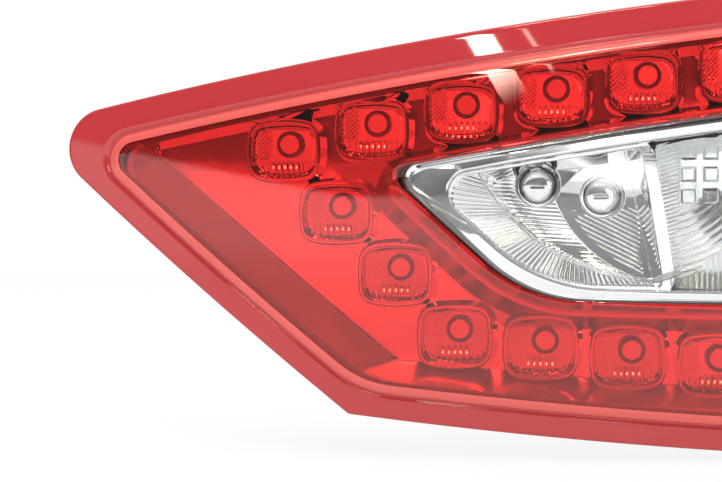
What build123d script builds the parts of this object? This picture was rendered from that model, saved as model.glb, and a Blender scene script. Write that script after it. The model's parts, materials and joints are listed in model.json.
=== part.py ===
from build123d import *
import os
from math import hypot

os.makedirs("parts", exist_ok=True)

# Tail light cluster in millimetres: X to the right, Z up, the lens faces -Y and the car panel is at Y = 0.
# Heights are measured from the panel towards the lens front.

# Crown of the lens: a wide sphere that every front face is concentric with
APEX = 80.0
CROWN_RADIUS = 900.0
CROWN_X = -25.0
CROWN_Z = 5.0

# Lamp outline: tip at the left, then clockwise
TIP = (-202.0, 41.5)
TOP_RIGHT = (146.0, 95.0)
LOW_RIGHT = (130.0, -81.0)
LOW_LEFT = (-77.0, -65.3)
TIP_ROUND = 15.0
END_ROUND = 12.0
POINT_ROUND = 2.8
SIDE_RADIUS = 2700.0
LEAST_ROUND = 1.0

# Red lens
LENS_WALL = 2.8
RIM_DROP = 3.0
RIM_ROUND = 2.0
RIM_TOP = 10.9
RIM_RIGHT = 12.0
RIM_BOTTOM = 8.9
RIM_LEFT = 9.0
ISLAND_ROUND = 2.2
ISLAND_TIP_ROUND = 10.0
ISLAND_POINT_ROUND = 40.0

# Clear window, from its left tip clockwise
WINDOW_TIP = (-62.0, 23.5)
WINDOW_TOP = (100.0, 47.8)
WINDOW_LOW = (93.0, -24.2)
WINDOW_BEND = (-12.1, -22.6)
WINDOW_TIP_ROUND = 5.0
WINDOW_END_ROUND = 8.0
WINDOW_BEND_ROUND = 55.0

# Joint between lens and housing
JOINT = 48.0
SEAL_THICK = 1.2
SEAL_EDGE = 0.4
FLANGE_THICK = 2.8

# Chrome bezel
BEZEL_GAP = 0.6
BEZEL_SIDE_GAP = 0.4
BEZEL_SKIRT = 1.6
BEZEL_WALL = 2.0
FLOOR = 56.0
FLOOR_TOP = 6.0
FLOOR_RIGHT = 14.0
FLOOR_BOTTOM = 11.4
FLOOR_LEFT = 16.7
FLOOR_POINT_ROUND = 6.0
FLARE_TOP = 1.7
FLARE_RIGHT = 18.4
FLARE_BOTTOM = 8.8
FLARE_LEFT = 24.7
FRAME_TOP = 6.2
FRAME_RIGHT = 10.0
FRAME_BOTTOM = 12.5
FRAME_LEFT = 15.0
FRAME_LIP = 0.2
FRAME_RIDGE = 64.0
FRAME_SHELF = 1.3
SHELF_STEP = 0.6
SHELF_LEFT = (-150.0, 29.4)
SHELF_RIGHT = (-62.0, 18.1)
POST_RADIUS = 3.5
POSTS = [(-118.0, 22.0), (-92.0, -16.0), (79.4, 61.5), (71.3, -49.2)]

# Lamp pockets and their optics
POCKET_WIDE = 22.6
POCKET_TALL = 17.6
POCKET_CORNER = 5.0
POCKET_SIDE_RADIUS = 45.0
POCKET_COLLAR = 1.4
COLLAR_FOOT = (1.4, 2.2, 0.4, 0.4)
COLLAR_EASE = 0.45
POCKET_FRONT = 63.5
TUBE_RADIUS = 4.4
TUBE_WALL = 1.5
TOP_COUNT = 7
TOP_START = -102.1
TOP_PITCH = 33.0
TOP_MIDDLE = 51.6
TOP_SLOPE = 0.152
TOP_SAG = 0.00045
SIDE_COUNT = 2
SIDE_STEP = (21.9, -22.8)
LOW_COUNT = 5
LOW_START = (-38.6, -37.3)
LOW_PITCH = 31.4
LOW_SLOPE = 0.135
LOW_SAG = 0.0003
OPTIC_THICK = 4.0
OPTIC_LEDGE = 1.5
OPTIC_FIT = 0.15
EYE_SHIFT = (1.8, 2.6)
EYE_RADIUS = 5.2
EYE_STEP = 0.8
PUPIL_RADIUS = 3.8
PUPIL_STEP = 0.9
OPTIC_RIB_COUNT = 5
OPTIC_RIB_WIDE = 1.0
OPTIC_RIB_TALL = 3.6
OPTIC_RIB_STEP = 0.8
OPTIC_RIB_PITCH = 2.4

# Board behind the pockets
BOARD_THICK = 1.6
BOARD_EDGE = 1.0
BOARD_DROP = 7.5
BOARD_WINDOW = 1.5
CHIP_RADIUS = 2.8
CHIP_THICK = 3.0
BOARD_BOSS_RADIUS = 3.0
BOARD_BOSSES = [(-20.6, 48.7), (45.4, 57.8), (8.5, -43.2), (-71.4, -3.4)]
SMALL_SHANK = 1.25
SMALL_HEAD = 2.6
SMALL_HEAD_TALL = 1.7
SMALL_GRIP = 4.0

# Housing
HOUSING_WALL = 2.5
SEAT_LAP = 1.6
WING_BACK = 35.5
BOX_BACK = 4.0
BOX_EDGE = 8.0

# Mask, reflectors and patterned plate behind the window
MASK_EDGE = 1.6
MASK_WALL = 1.6
MASK_LAP = 2.5
MASK_REAR = 61.4
MASK_TOP = 71.0
MOUTH_TOP = 5.2
MOUTH_RIGHT = 6.0
MOUTH_BOTTOM = 4.0
MOUTH_LEFT = 6.0
MOUTH_TIP_ROUND = 8.0
MOUTH_END_ROUND = 6.0
MOUTH_BEND_ROUND = 60.0
DIVIDER_TOP = 29.0
DIVIDER_LOW = 37.0
DIVIDER_GAP = 5.0
DIVIDER_ROUND = 2.0
BOWL_WALL = 2.0
BOWL_BACK = 30.0
TURN_TAPER = (0.3, 4.0, 9.0, 12.0)
REVERSE_TAPER = (5.0, 6.0, 6.0, 5.0)
FLUTE_RADIUS = 1.1
FLUTE_PITCH = 2.0
FLUTE_COUNT = 9
FLUTE_START = (-13.0, -9.5)
FLUTE_LONG = 38.0
RIB_STEP = 0.8
RIB_WIDE = 1.2
RIB_PITCH = 2.4
RIB_COUNT = 24
RIB_START = -30.0
RIB_TOP = 2.0
OPTIC_PLATE = 3.0
BLOCK_STEP = 1.0
BLOCK_GAP = 1.6
BLOCK_COLUMNS = 6
BLOCK_ROWS = 6
BLOCK_MIDDLE = (66.0, 11.0)
BLOCK_FIELD = (42.0, 48.0)
BOWL_POSTS = [(-8.0, -2.0), (24.0, -6.0), (50.0, 26.0), (80.0, -14.0)]

# Bulbs and their holders
BULBS = [(-7.8, 19.0), (16.5, 14.8), (60.0, 9.0)]
BULB_RADIUS = 7.2
BULB_WALL = 0.8
BULB_TOP = 45.0
BULB_FOOT = 25.0
BULB_HOLE_GAP = 1.0
WEDGE_WIDE = 12.6
WEDGE_THICK = 4.6
WEDGE_LONG = 10.0
LEAD_RADIUS = 0.4
LEAD_SPREAD = 2.4
LEAD_LONG = 9.0
COIL_RADIUS = 0.8
BARREL_RADIUS = 9.0
BARREL_FRONT = 21.0
PORT_GAP = 0.5
HOLDER_FLANGE = 12.0
HOLDER_FLANGE_THICK = 3.0
HOLDER_SEAL_THICK = 1.5
HOLDER_SEAL_WIDE = 2.2
HOLDER_BODY_RADIUS = 8.5
HOLDER_BODY_LONG = 12.0
PLUG_WIDE = 13.0
PLUG_TALL = 9.0
PLUG_LONG = 9.0
PLUG_WALL = 1.5
GRIP_WIDE = 21.0
GRIP_THICK = 3.0
GRIP_LONG = 7.0

# Connector on the housing
SHROUD_PLACE = (-70.0, -30.0)
SHROUD_WIDE = 22.0
SHROUD_TALL = 15.0
SHROUD_WALL = 1.8
SHROUD_LONG = 21.0
PIN_COLUMNS = 3
PIN_ROWS = 2
PIN_PITCH = 4.6
PIN_SIZE = 1.2
PIN_REACH = 14.0

# Fixings on the back
STUD_SPACING = 168.0
STUD_RADIUS = 3.0
STUD_ROOT_RADIUS = 4.5
STUD_REACH = 24.0
STUD_GRIP = 14.0
STUD_BOSS_RADIUS = 8.5
LOCATOR_PLACE = (0.0, -50.0)
LOCATOR_RADIUS = 4.0
LOCATOR_REACH = 12.0
LOCATOR_BOSS_RADIUS = 6.0
SCREW_SHANK = 1.6
SCREW_HEAD = 4.0
SCREW_HEAD_TALL = 2.2
SCREW_GRIP = 9.0
GASKET_EDGE = 2.0
GASKET_WIDE = 4.0
BREATHER_PLACE = (60.0, 61.0)
SPIGOT_RADIUS = 3.5
SPIGOT_BORE = 2.0
SPIGOT_LONG = 7.0
CAP_WALL = 2.0
CAP_TOP = 2.5

CENTRE = Vector(CROWN_X, CROWN_RADIUS - APEX, CROWN_Z)
FLANGE = JOINT - SEAL_THICK
FLOOR_REAR = FLOOR - BEZEL_WALL
BOARD_FRONT = FLOOR - BOARD_DROP
BOARD_REAR = BOARD_FRONT - BOARD_THICK
LEDGE = FLOOR - BEZEL_WALL + OPTIC_LEDGE
OPTIC_FRONT = LEDGE + OPTIC_THICK
WING_FLOOR = WING_BACK + HOUSING_WALL
BOX_FLOOR = BOX_BACK + HOUSING_WALL
PLATE_REAR = MASK_REAR - OPTIC_PLATE
LIP_DEPTH = LENS_WALL + BEZEL_GAP


class Outline:
    """A four-sided outline in X and Z: corners clockwise from the left tip, a round at each, bowed sides."""

    def __init__(self, corners, rounds, side_radius=SIDE_RADIUS):
        self.corners = list(corners)
        self.rounds = list(rounds)
        self.side_radius = side_radius

    def inset(self, *margins):
        """The outline moved inwards by a margin, or by one each for the top, right, bottom and left."""
        if len(margins) == 1:
            margins = margins * 4
        lines = []
        for start, end, margin in zip(self.corners, self.corners[1:] + self.corners[:1], margins):
            along = (Vector(end) - Vector(start)).normalized()
            inwards = Vector(along.Y, -along.X)
            lines.append((Vector(start) + inwards * margin, along))
        corners = []
        rounds = []
        for i in range(4):
            (p, a), (q, b) = lines[i - 1], lines[i]
            gap = q - p
            reach = (gap.X * b.Y - gap.Y * b.X) / (a.X * b.Y - a.Y * b.X)
            meet = p + a * reach
            corners.append((meet.X, meet.Y))
            rounds.append(max(self.rounds[i] - (margins[i - 1] + margins[i]) / 2, LEAST_ROUND))
        return Outline(corners, rounds, self.side_radius)

    def rounded(self, *rounds):
        """The same corners with other rounds."""
        return Outline(self.corners, rounds, self.side_radius)

    def face(self, height):
        """The flat face of the outline at a height above the panel."""
        with BuildSketch(Plane.XZ.offset(height)) as sketch:
            with BuildLine():
                for start, end in zip(self.corners, self.corners[1:] + self.corners[:1]):
                    chord = hypot(end[0] - start[0], end[1] - start[1])
                    SagittaArc(start, end, chord**2 / (8 * self.side_radius))
            make_face()
            for corner, radius in zip(self.corners, self.rounds):
                fillet(sketch.vertices().sort_by_distance(corner)[0], radius)
        return sketch.sketch


def disc(place, radius, height):
    """A round face at a place and height."""
    with BuildSketch(Plane.XZ.offset(height)) as sketch:
        with Locations(place):
            Circle(radius)
    return sketch.sketch


def block(place, wide, tall, height):
    """A rectangular face at a place and height."""
    with BuildSketch(Plane.XZ.offset(height)) as sketch:
        with Locations(place):
            Rectangle(wide, tall)
    return sketch.sketch


def on_chord(start, end, x):
    """The point of a straight side at a given X."""
    return (x, start[1] + (end[1] - start[1]) * (x - start[0]) / (end[0] - start[0]))


def on_crown(edges, depth):
    """The edges that lie on the crown at a depth below its front."""
    radius = CROWN_RADIUS - depth
    return edges.filter_by(lambda edge: abs((edge @ 0.5 - CENTRE).length - radius) < 0.001)


def pocket(place):
    """The squircle of a lamp pocket's bore."""
    x, z = place
    w, t = POCKET_WIDE / 2, POCKET_TALL / 2
    corners = [(x - w, z + t), (x + w, z + t), (x + w, z - t), (x - w, z - t)]
    return Outline(corners, [POCKET_CORNER] * 4, POCKET_SIDE_RADIUS)


def eye(place):
    """Where a pocket's light source and the round eye of its optic sit."""
    return (place[0] + EYE_SHIFT[0], place[1] + EYE_SHIFT[1])


def screws(places, seat, head, head_tall, shank, reach):
    """Pan-head screws driven from the back: heads behind the seat, shanks in front of it."""
    with BuildPart() as group:
        for place in places:
            extrude(disc(place, head, seat), amount=-head_tall)
            extrude(disc(place, shank, seat), amount=reach)
    return group.part


def save(part, name):
    """Name a piece and write its file."""
    part.label = name
    export_step(part, f"parts/{name}.step")


OUTER = Outline([TIP, TOP_RIGHT, LOW_RIGHT, LOW_LEFT], [TIP_ROUND, END_ROUND, END_ROUND, POINT_ROUND])
ISLAND = OUTER.inset(RIM_TOP, RIM_RIGHT, RIM_BOTTOM, RIM_LEFT)
ISLAND = ISLAND.rounded(ISLAND_TIP_ROUND, END_ROUND, END_ROUND, ISLAND_POINT_ROUND)
WINDOW = Outline(
    [WINDOW_TIP, WINDOW_TOP, WINDOW_LOW, WINDOW_BEND],
    [WINDOW_TIP_ROUND, WINDOW_END_ROUND, WINDOW_END_ROUND, WINDOW_BEND_ROUND],
)
LIP = ISLAND.inset(LENS_WALL + BEZEL_SIDE_GAP)
FIELD = ISLAND.inset(FLOOR_TOP, FLOOR_RIGHT, FLOOR_BOTTOM, FLOOR_LEFT)
FIELD = FIELD.rounded(LEAST_ROUND, END_ROUND, END_ROUND, FLOOR_POINT_ROUND)
FLARE = FIELD.inset(-FLARE_TOP, -FLARE_RIGHT, -FLARE_BOTTOM, -FLARE_LEFT)
FRAME_BASE = WINDOW.inset(-FRAME_TOP, -FRAME_RIGHT, -FRAME_BOTTOM, -FRAME_LEFT)
FRAME_MIDDLE = WINDOW.inset(-FRAME_TOP / 2, -FRAME_RIGHT / 2, -FRAME_BOTTOM / 2, -FRAME_LEFT / 2)
FRAME_CREST = WINDOW.inset(-FRAME_LIP)
BODY = LIP.inset(BEZEL_SKIRT + SEAT_LAP - HOUSING_WALL)
BOX = WINDOW.inset(-BOX_EDGE)
MASK = WINDOW.inset(MASK_EDGE)
MOUTH = WINDOW.inset(MOUTH_TOP, MOUTH_RIGHT, MOUTH_BOTTOM, MOUTH_LEFT)
MOUTH = MOUTH.rounded(MOUTH_TIP_ROUND, MOUTH_END_ROUND, MOUTH_END_ROUND, MOUTH_BEND_ROUND)
mouth_tip, mouth_top, mouth_low, mouth_bend = MOUTH.corners
TURN = Outline(
    [
        mouth_tip,
        on_chord(mouth_tip, mouth_top, DIVIDER_TOP),
        on_chord(mouth_bend, mouth_low, DIVIDER_LOW),
        mouth_bend,
    ],
    [MOUTH_TIP_ROUND, DIVIDER_ROUND, DIVIDER_ROUND, MOUTH_BEND_ROUND],
)
REVERSE = Outline(
    [
        on_chord(mouth_tip, mouth_top, DIVIDER_TOP + DIVIDER_GAP),
        mouth_top,
        mouth_low,
        on_chord(mouth_bend, mouth_low, DIVIDER_LOW + DIVIDER_GAP),
    ],
    [DIVIDER_ROUND, MOUTH_END_ROUND, MOUTH_END_ROUND, DIVIDER_ROUND],
)

top_row = []
for i in range(TOP_COUNT):
    x = TOP_START + i * TOP_PITCH
    top_row.append((x, TOP_MIDDLE + TOP_SLOPE * x - TOP_SAG * x**2))
low_row = []
for i in range(LOW_COUNT):
    run = i * LOW_PITCH
    low_row.append((LOW_START[0] + run, LOW_START[1] - LOW_SLOPE * run + LOW_SAG * run**2))
side_row = []
for i in range(SIDE_COUNT, 0, -1):
    side_row.append((LOW_START[0] - i * SIDE_STEP[0], LOW_START[1] - i * SIDE_STEP[1]))
POCKETS = top_row + side_row + low_row

# Outer cover
with BuildPart() as rim_block:
    extrude(OUTER.face(JOINT), amount=APEX - JOINT)
    with Locations(CENTRE):
        Sphere(CROWN_RADIUS - RIM_DROP, mode=Mode.INTERSECT)
    fillet(on_crown(rim_block.edges(), RIM_DROP), RIM_ROUND)

with BuildPart() as island_block:
    extrude(ISLAND.face(JOINT), amount=APEX - JOINT)
    with Locations(CENTRE):
        Sphere(CROWN_RADIUS, mode=Mode.INTERSECT)
    fillet(on_crown(island_block.edges(), 0), ISLAND_ROUND)

with BuildPart() as rim_hollow:
    extrude(OUTER.inset(LENS_WALL).face(JOINT), amount=APEX - JOINT)
    with Locations(CENTRE):
        Sphere(CROWN_RADIUS - RIM_DROP - LENS_WALL, mode=Mode.INTERSECT)

with BuildPart() as island_hollow:
    extrude(ISLAND.inset(LENS_WALL).face(JOINT), amount=APEX - JOINT)
    with Locations(CENTRE):
        Sphere(CROWN_RADIUS - LENS_WALL, mode=Mode.INTERSECT)

with BuildPart() as red_outer_lens:
    add(rim_block.part)
    add(island_block.part)
    add(rim_hollow.part, mode=Mode.SUBTRACT)
    add(island_hollow.part, mode=Mode.SUBTRACT)
    extrude(WINDOW.face(JOINT), amount=APEX - JOINT, mode=Mode.SUBTRACT)
save(red_outer_lens.part, "red_outer_lens")

with BuildPart() as clear_window:
    extrude(WINDOW.face(JOINT), amount=APEX - JOINT)
    with Locations(CENTRE):
        Sphere(CROWN_RADIUS, mode=Mode.INTERSECT)
        Sphere(CROWN_RADIUS - LENS_WALL, mode=Mode.SUBTRACT)
save(clear_window.part, "clear_window")

with BuildPart() as lens_seal:
    extrude(OUTER.inset(SEAL_EDGE).face(FLANGE), amount=SEAL_THICK)
    extrude(OUTER.inset(LENS_WALL - SEAL_EDGE).face(FLANGE), amount=SEAL_THICK, mode=Mode.SUBTRACT)
save(lens_seal.part, "lens_seal")

# Bright inner mask: a dish with a raised frame round the window and a pocket for each lamp
with BuildPart() as dish_hollow:
    loft([FIELD.face(FLOOR), FLARE.face(APEX)], ruled=True)
    extrude(LIP.inset(BEZEL_SKIRT).face(FLOOR), amount=APEX - FLOOR, mode=Mode.INTERSECT)

with BuildPart() as skirt:
    extrude(LIP.face(FLANGE), amount=APEX - FLANGE)
    extrude(LIP.inset(BEZEL_SKIRT).face(FLANGE), amount=APEX - FLANGE, mode=Mode.SUBTRACT)

with BuildPart() as frame:
    loft([FRAME_BASE.face(FLOOR_REAR), FRAME_MIDDLE.face(FRAME_RIDGE)], ruled=True)
    loft([FRAME_MIDDLE.inset(FRAME_SHELF).face(FRAME_RIDGE), FRAME_CREST.face(APEX)], ruled=True)

with BuildPart() as frame_hollow:
    base = FRAME_BASE.inset(BEZEL_SKIRT).face(FLOOR_REAR)
    middle = FRAME_MIDDLE.inset(FRAME_SHELF + BEZEL_SKIRT).face(FRAME_RIDGE - BEZEL_WALL)
    crest = FRAME_CREST.inset(BEZEL_SKIRT).face(APEX)
    loft([base, middle], ruled=True)
    loft([middle, crest], ruled=True)

with BuildPart() as shelf:
    with BuildSketch(Plane.XZ.offset(FLOOR)):
        with BuildLine():
            Polyline(
                SHELF_LEFT,
                SHELF_RIGHT,
                WINDOW_TOP,
                on_chord(WINDOW_TIP, WINDOW_TOP, TOP_RIGHT[0]),
                TOP_RIGHT,
                (SHELF_LEFT[0], TOP_RIGHT[1]),
                close=True,
            )
        make_face()
    extrude(amount=SHELF_STEP)
    add(dish_hollow.part, mode=Mode.INTERSECT)

collar_brow = POCKET_FRONT - COLLAR_EASE
with BuildPart() as collars:
    for place in POCKETS:
        collar = pocket(place).inset(-POCKET_COLLAR)
        foot = collar.inset(*[-margin for margin in COLLAR_FOOT])
        loft([foot.face(FLOOR_REAR), collar.face(collar_brow)], ruled=True)
        loft([collar.face(collar_brow), collar.inset(COLLAR_EASE).face(POCKET_FRONT)], ruled=True)
        extrude(disc(eye(place), TUBE_RADIUS + TUBE_WALL, BOARD_FRONT), amount=FLOOR_REAR - BOARD_FRONT)

with BuildPart() as bores:
    for place in POCKETS:
        mouth = pocket(place).inset(-COLLAR_EASE)
        extrude(pocket(place).face(LEDGE), amount=APEX - LEDGE)
        loft([pocket(place).face(collar_brow), mouth.face(POCKET_FRONT)], ruled=True)
        extrude(disc(eye(place), TUBE_RADIUS, BOARD_FRONT), amount=LEDGE - BOARD_FRONT)

with BuildPart() as chrome_bezel:
    loft([FIELD.inset(-BEZEL_SKIRT).face(FLOOR_REAR), FLARE.inset(-BEZEL_SKIRT).face(APEX)], ruled=True)
    extrude(LIP.face(FLOOR_REAR), amount=APEX - FLOOR_REAR, mode=Mode.INTERSECT)
    add(dish_hollow.part, mode=Mode.SUBTRACT)
    add(skirt.part)
    add(shelf.part)
    add(frame.part)
    add(frame_hollow.part, mode=Mode.SUBTRACT)
    add(collars.part)
    add(bores.part, mode=Mode.SUBTRACT)
    for place in POSTS:
        extrude(disc(place, POST_RADIUS, WING_FLOOR), amount=FLOOR_REAR - WING_FLOOR)
        extrude(disc(place, SCREW_SHANK, WING_FLOOR), amount=SCREW_GRIP, mode=Mode.SUBTRACT)
    for place in BOARD_BOSSES:
        extrude(disc(place, BOARD_BOSS_RADIUS, BOARD_FRONT), amount=FLOOR_REAR - BOARD_FRONT)
        extrude(disc(place, SMALL_SHANK, BOARD_FRONT), amount=SMALL_GRIP, mode=Mode.SUBTRACT)
    with Locations(CENTRE):
        Sphere(CROWN_RADIUS - LIP_DEPTH, mode=Mode.INTERSECT)
save(chrome_bezel.part, "chrome_bezel")

# Clear plug of each pocket
for number, place in enumerate(POCKETS, 1):
    rib_foot = place[1] - POCKET_TALL / 2 + OPTIC_RIB_TALL
    with BuildPart() as led_optic:
        extrude(pocket(place).inset(OPTIC_FIT).face(LEDGE), amount=OPTIC_THICK)
        extrude(disc(eye(place), EYE_RADIUS, OPTIC_FRONT), amount=EYE_STEP)
        extrude(disc(eye(place), PUPIL_RADIUS, OPTIC_FRONT + EYE_STEP), amount=PUPIL_STEP)
        for i in range(OPTIC_RIB_COUNT):
            rib = (place[0] + (i - (OPTIC_RIB_COUNT - 1) / 2) * OPTIC_RIB_PITCH, rib_foot)
            extrude(block(rib, OPTIC_RIB_WIDE, OPTIC_RIB_TALL, OPTIC_FRONT), amount=OPTIC_RIB_STEP)
    save(led_optic.part, f"led_optic_{number:02d}")

# Board, light sources and their screws
with BuildPart() as led_board:
    extrude(FIELD.inset(BOARD_EDGE).face(BOARD_REAR), amount=BOARD_THICK)
    extrude(WINDOW.inset(-BOARD_WINDOW).face(BOARD_REAR), amount=BOARD_THICK, mode=Mode.SUBTRACT)
    for place in POSTS:
        extrude(disc(place, POST_RADIUS + PORT_GAP, BOARD_REAR), amount=BOARD_THICK, mode=Mode.SUBTRACT)
    for place in BOARD_BOSSES:
        extrude(disc(place, SMALL_SHANK, BOARD_REAR), amount=BOARD_THICK, mode=Mode.SUBTRACT)
save(led_board.part, "led_board")

with BuildPart() as led_chips:
    for place in POCKETS:
        extrude(disc(eye(place), CHIP_RADIUS, BOARD_FRONT), amount=CHIP_THICK)
save(led_chips.part, "led_chips")

small_reach = BOARD_THICK + SMALL_GRIP
save(
    screws(BOARD_BOSSES, BOARD_REAR, SMALL_HEAD, SMALL_HEAD_TALL, SMALL_SHANK, small_reach),
    "board_screws",
)
screw_reach = HOUSING_WALL + SCREW_GRIP
save(screws(POSTS, WING_BACK, SCREW_HEAD, SCREW_HEAD_TALL, SCREW_SHANK, screw_reach), "bezel_screws")
save(screws(BOWL_POSTS, BOX_BACK, SCREW_HEAD, SCREW_HEAD_TALL, SCREW_SHANK, screw_reach), "reflector_screws")

# Mask inside the window
with BuildPart() as mask_hollow:
    extrude(MOUTH.face(MASK_REAR), amount=MASK_WALL)
    loft([MOUTH.face(MASK_REAR + MASK_WALL), MASK.inset(MASK_WALL).face(MASK_TOP)], ruled=True)
    extrude(MASK.inset(MASK_WALL).face(MASK_TOP), amount=APEX - MASK_TOP)

with BuildPart() as window_bezel:
    loft([MOUTH.inset(-MASK_LAP).face(MASK_REAR), MASK.face(MASK_TOP - MASK_WALL)], ruled=True)
    extrude(MASK.face(MASK_TOP - MASK_WALL), amount=APEX - MASK_TOP + MASK_WALL)
    add(mask_hollow.part, mode=Mode.SUBTRACT)
    with Locations(CENTRE):
        Sphere(CROWN_RADIUS - LIP_DEPTH, mode=Mode.INTERSECT)
save(window_bezel.part, "window_bezel")

# Bowl of the turn signal, with ribs along its lower wall and flutes across its back
turn_back = TURN.inset(*TURN_TAPER)
with BuildPart() as turn_hollow:
    loft([turn_back.face(BOWL_BACK + BOWL_WALL), TURN.face(MASK_REAR)], ruled=True)

with BuildPart() as turn_ribs:
    for i in range(RIB_COUNT):
        spot = (RIB_START + i * RIB_PITCH, (RIB_TOP + mouth_bend[1]) / 2)
        rib = block(spot, RIB_WIDE, RIB_TOP - mouth_bend[1], BOWL_BACK + BOWL_WALL)
        extrude(rib, amount=MASK_REAR - BOWL_BACK)
    add(turn_hollow.part, mode=Mode.INTERSECT)
    loft(
        [
            turn_back.inset(RIB_STEP).face(BOWL_BACK + BOWL_WALL),
            TURN.inset(RIB_STEP).face(MASK_REAR + BOWL_WALL),
        ],
        ruled=True,
        mode=Mode.SUBTRACT,
    )

with BuildPart() as turn_reflector:
    loft([turn_back.inset(-BOWL_WALL).face(BOWL_BACK), TURN.inset(-BOWL_WALL).face(MASK_REAR)], ruled=True)
    add(turn_hollow.part, mode=Mode.SUBTRACT)
    add(turn_ribs.part)
    for i in range(FLUTE_COUNT):
        at = (FLUTE_START[0], -BOWL_BACK - BOWL_WALL, FLUTE_START[1] + i * FLUTE_PITCH)
        with Locations(Location(at, (0, 90, 0))):
            Cylinder(FLUTE_RADIUS, FLUTE_LONG, align=(Align.CENTER, Align.CENTER, Align.MIN))
    for place in BULBS[:2]:
        bulb_hole = disc(place, BULB_RADIUS + BULB_HOLE_GAP, BOWL_BACK)
        extrude(bulb_hole, amount=BOWL_WALL * 2, mode=Mode.SUBTRACT)
    for place in BOWL_POSTS[:2]:
        extrude(disc(place, POST_RADIUS, BOX_FLOOR), amount=BOWL_BACK - BOX_FLOOR)
        extrude(disc(place, SCREW_SHANK, BOX_FLOOR), amount=SCREW_GRIP, mode=Mode.SUBTRACT)
save(turn_reflector.part, "turn_reflector")

# Bowl of the reversing lamp and the patterned plate in front of it
reverse_back = REVERSE.inset(*REVERSE_TAPER)
with BuildPart() as reverse_reflector:
    loft(
        [reverse_back.inset(-BOWL_WALL).face(BOWL_BACK), REVERSE.inset(-BOWL_WALL).face(PLATE_REAR)],
        ruled=True,
    )
    loft(
        [reverse_back.face(BOWL_BACK + BOWL_WALL), REVERSE.face(PLATE_REAR)],
        ruled=True,
        mode=Mode.SUBTRACT,
    )
    for place in BULBS[2:]:
        bulb_hole = disc(place, BULB_RADIUS + BULB_HOLE_GAP, BOWL_BACK)
        extrude(bulb_hole, amount=BOWL_WALL, mode=Mode.SUBTRACT)
    for place in BOWL_POSTS[2:]:
        extrude(disc(place, POST_RADIUS, BOX_FLOOR), amount=BOWL_BACK - BOX_FLOOR)
        extrude(disc(place, SCREW_SHANK, BOX_FLOOR), amount=SCREW_GRIP, mode=Mode.SUBTRACT)
save(reverse_reflector.part, "reverse_reflector")

block_pitch = (BLOCK_FIELD[0] / BLOCK_COLUMNS, BLOCK_FIELD[1] / BLOCK_ROWS)
with BuildPart() as reverse_optic:
    extrude(REVERSE.inset(-BOWL_WALL).face(PLATE_REAR), amount=OPTIC_PLATE)
    for column in range(BLOCK_COLUMNS):
        for row in range(BLOCK_ROWS):
            x = BLOCK_MIDDLE[0] + (column - (BLOCK_COLUMNS - 1) / 2) * block_pitch[0]
            z = BLOCK_MIDDLE[1] + (row - (BLOCK_ROWS - 1) / 2) * block_pitch[1]
            tile = block((x, z), block_pitch[0] - BLOCK_GAP, block_pitch[1] - BLOCK_GAP, MASK_REAR)
            extrude(tile, amount=BLOCK_STEP)
save(reverse_optic.part, "reverse_optic")

# Housing: wing tray, deep box, bosses, locating pin, connector shroud and breather spigot
STUDS = [(-STUD_SPACING / 2, 0), (STUD_SPACING / 2, 0)]
pin_places = []
for column in range(PIN_COLUMNS):
    for row in range(PIN_ROWS):
        x = SHROUD_PLACE[0] + (column - (PIN_COLUMNS - 1) / 2) * PIN_PITCH
        z = SHROUD_PLACE[1] + (row - (PIN_ROWS - 1) / 2) * PIN_PITCH
        pin_places.append((x, z))

with BuildPart() as rear_housing:
    extrude(OUTER.face(FLANGE - FLANGE_THICK), amount=FLANGE_THICK)
    extrude(BODY.face(WING_BACK), amount=FLANGE - WING_BACK)
    extrude(BOX.face(BOX_BACK), amount=WING_BACK - BOX_BACK)
    extrude(BODY.inset(HOUSING_WALL).face(WING_FLOOR), amount=FLANGE - WING_FLOOR, mode=Mode.SUBTRACT)
    extrude(BOX.inset(HOUSING_WALL).face(BOX_FLOOR), amount=FLANGE - BOX_FLOOR, mode=Mode.SUBTRACT)
    extrude(disc(STUDS[0], STUD_BOSS_RADIUS, 0), amount=WING_BACK)
    extrude(disc(STUDS[1], STUD_BOSS_RADIUS, 0), amount=STUD_GRIP + HOUSING_WALL)
    for place in STUDS:
        extrude(disc(place, STUD_ROOT_RADIUS, 0), amount=STUD_GRIP, mode=Mode.SUBTRACT)
    extrude(disc(LOCATOR_PLACE, LOCATOR_BOSS_RADIUS, 0), amount=WING_BACK)
    extrude(disc(LOCATOR_PLACE, LOCATOR_RADIUS, 0), amount=-LOCATOR_REACH)
    extrude(block(SHROUD_PLACE, SHROUD_WIDE, SHROUD_TALL, WING_BACK), amount=-SHROUD_LONG)
    inner = (SHROUD_WIDE - 2 * SHROUD_WALL, SHROUD_TALL - 2 * SHROUD_WALL)
    extrude(block(SHROUD_PLACE, *inner, WING_BACK), amount=-SHROUD_LONG, mode=Mode.SUBTRACT)
    extrude(disc(BREATHER_PLACE, SPIGOT_RADIUS, WING_BACK), amount=-SPIGOT_LONG)
    spigot_bore = disc(BREATHER_PLACE, SPIGOT_BORE, WING_BACK - SPIGOT_LONG)
    extrude(spigot_bore, amount=SPIGOT_LONG + HOUSING_WALL, mode=Mode.SUBTRACT)
    for place in pin_places:
        extrude(block(place, PIN_SIZE, PIN_SIZE, WING_BACK), amount=HOUSING_WALL, mode=Mode.SUBTRACT)
    for place in BULBS:
        port = disc(place, BARREL_RADIUS + PORT_GAP, BOX_BACK)
        extrude(port, amount=HOUSING_WALL, mode=Mode.SUBTRACT)
    for place in POSTS:
        extrude(disc(place, SCREW_SHANK, WING_BACK), amount=HOUSING_WALL, mode=Mode.SUBTRACT)
    for place in BOWL_POSTS:
        extrude(disc(place, SCREW_SHANK, BOX_BACK), amount=HOUSING_WALL, mode=Mode.SUBTRACT)
save(rear_housing.part, "rear_housing")

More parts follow.
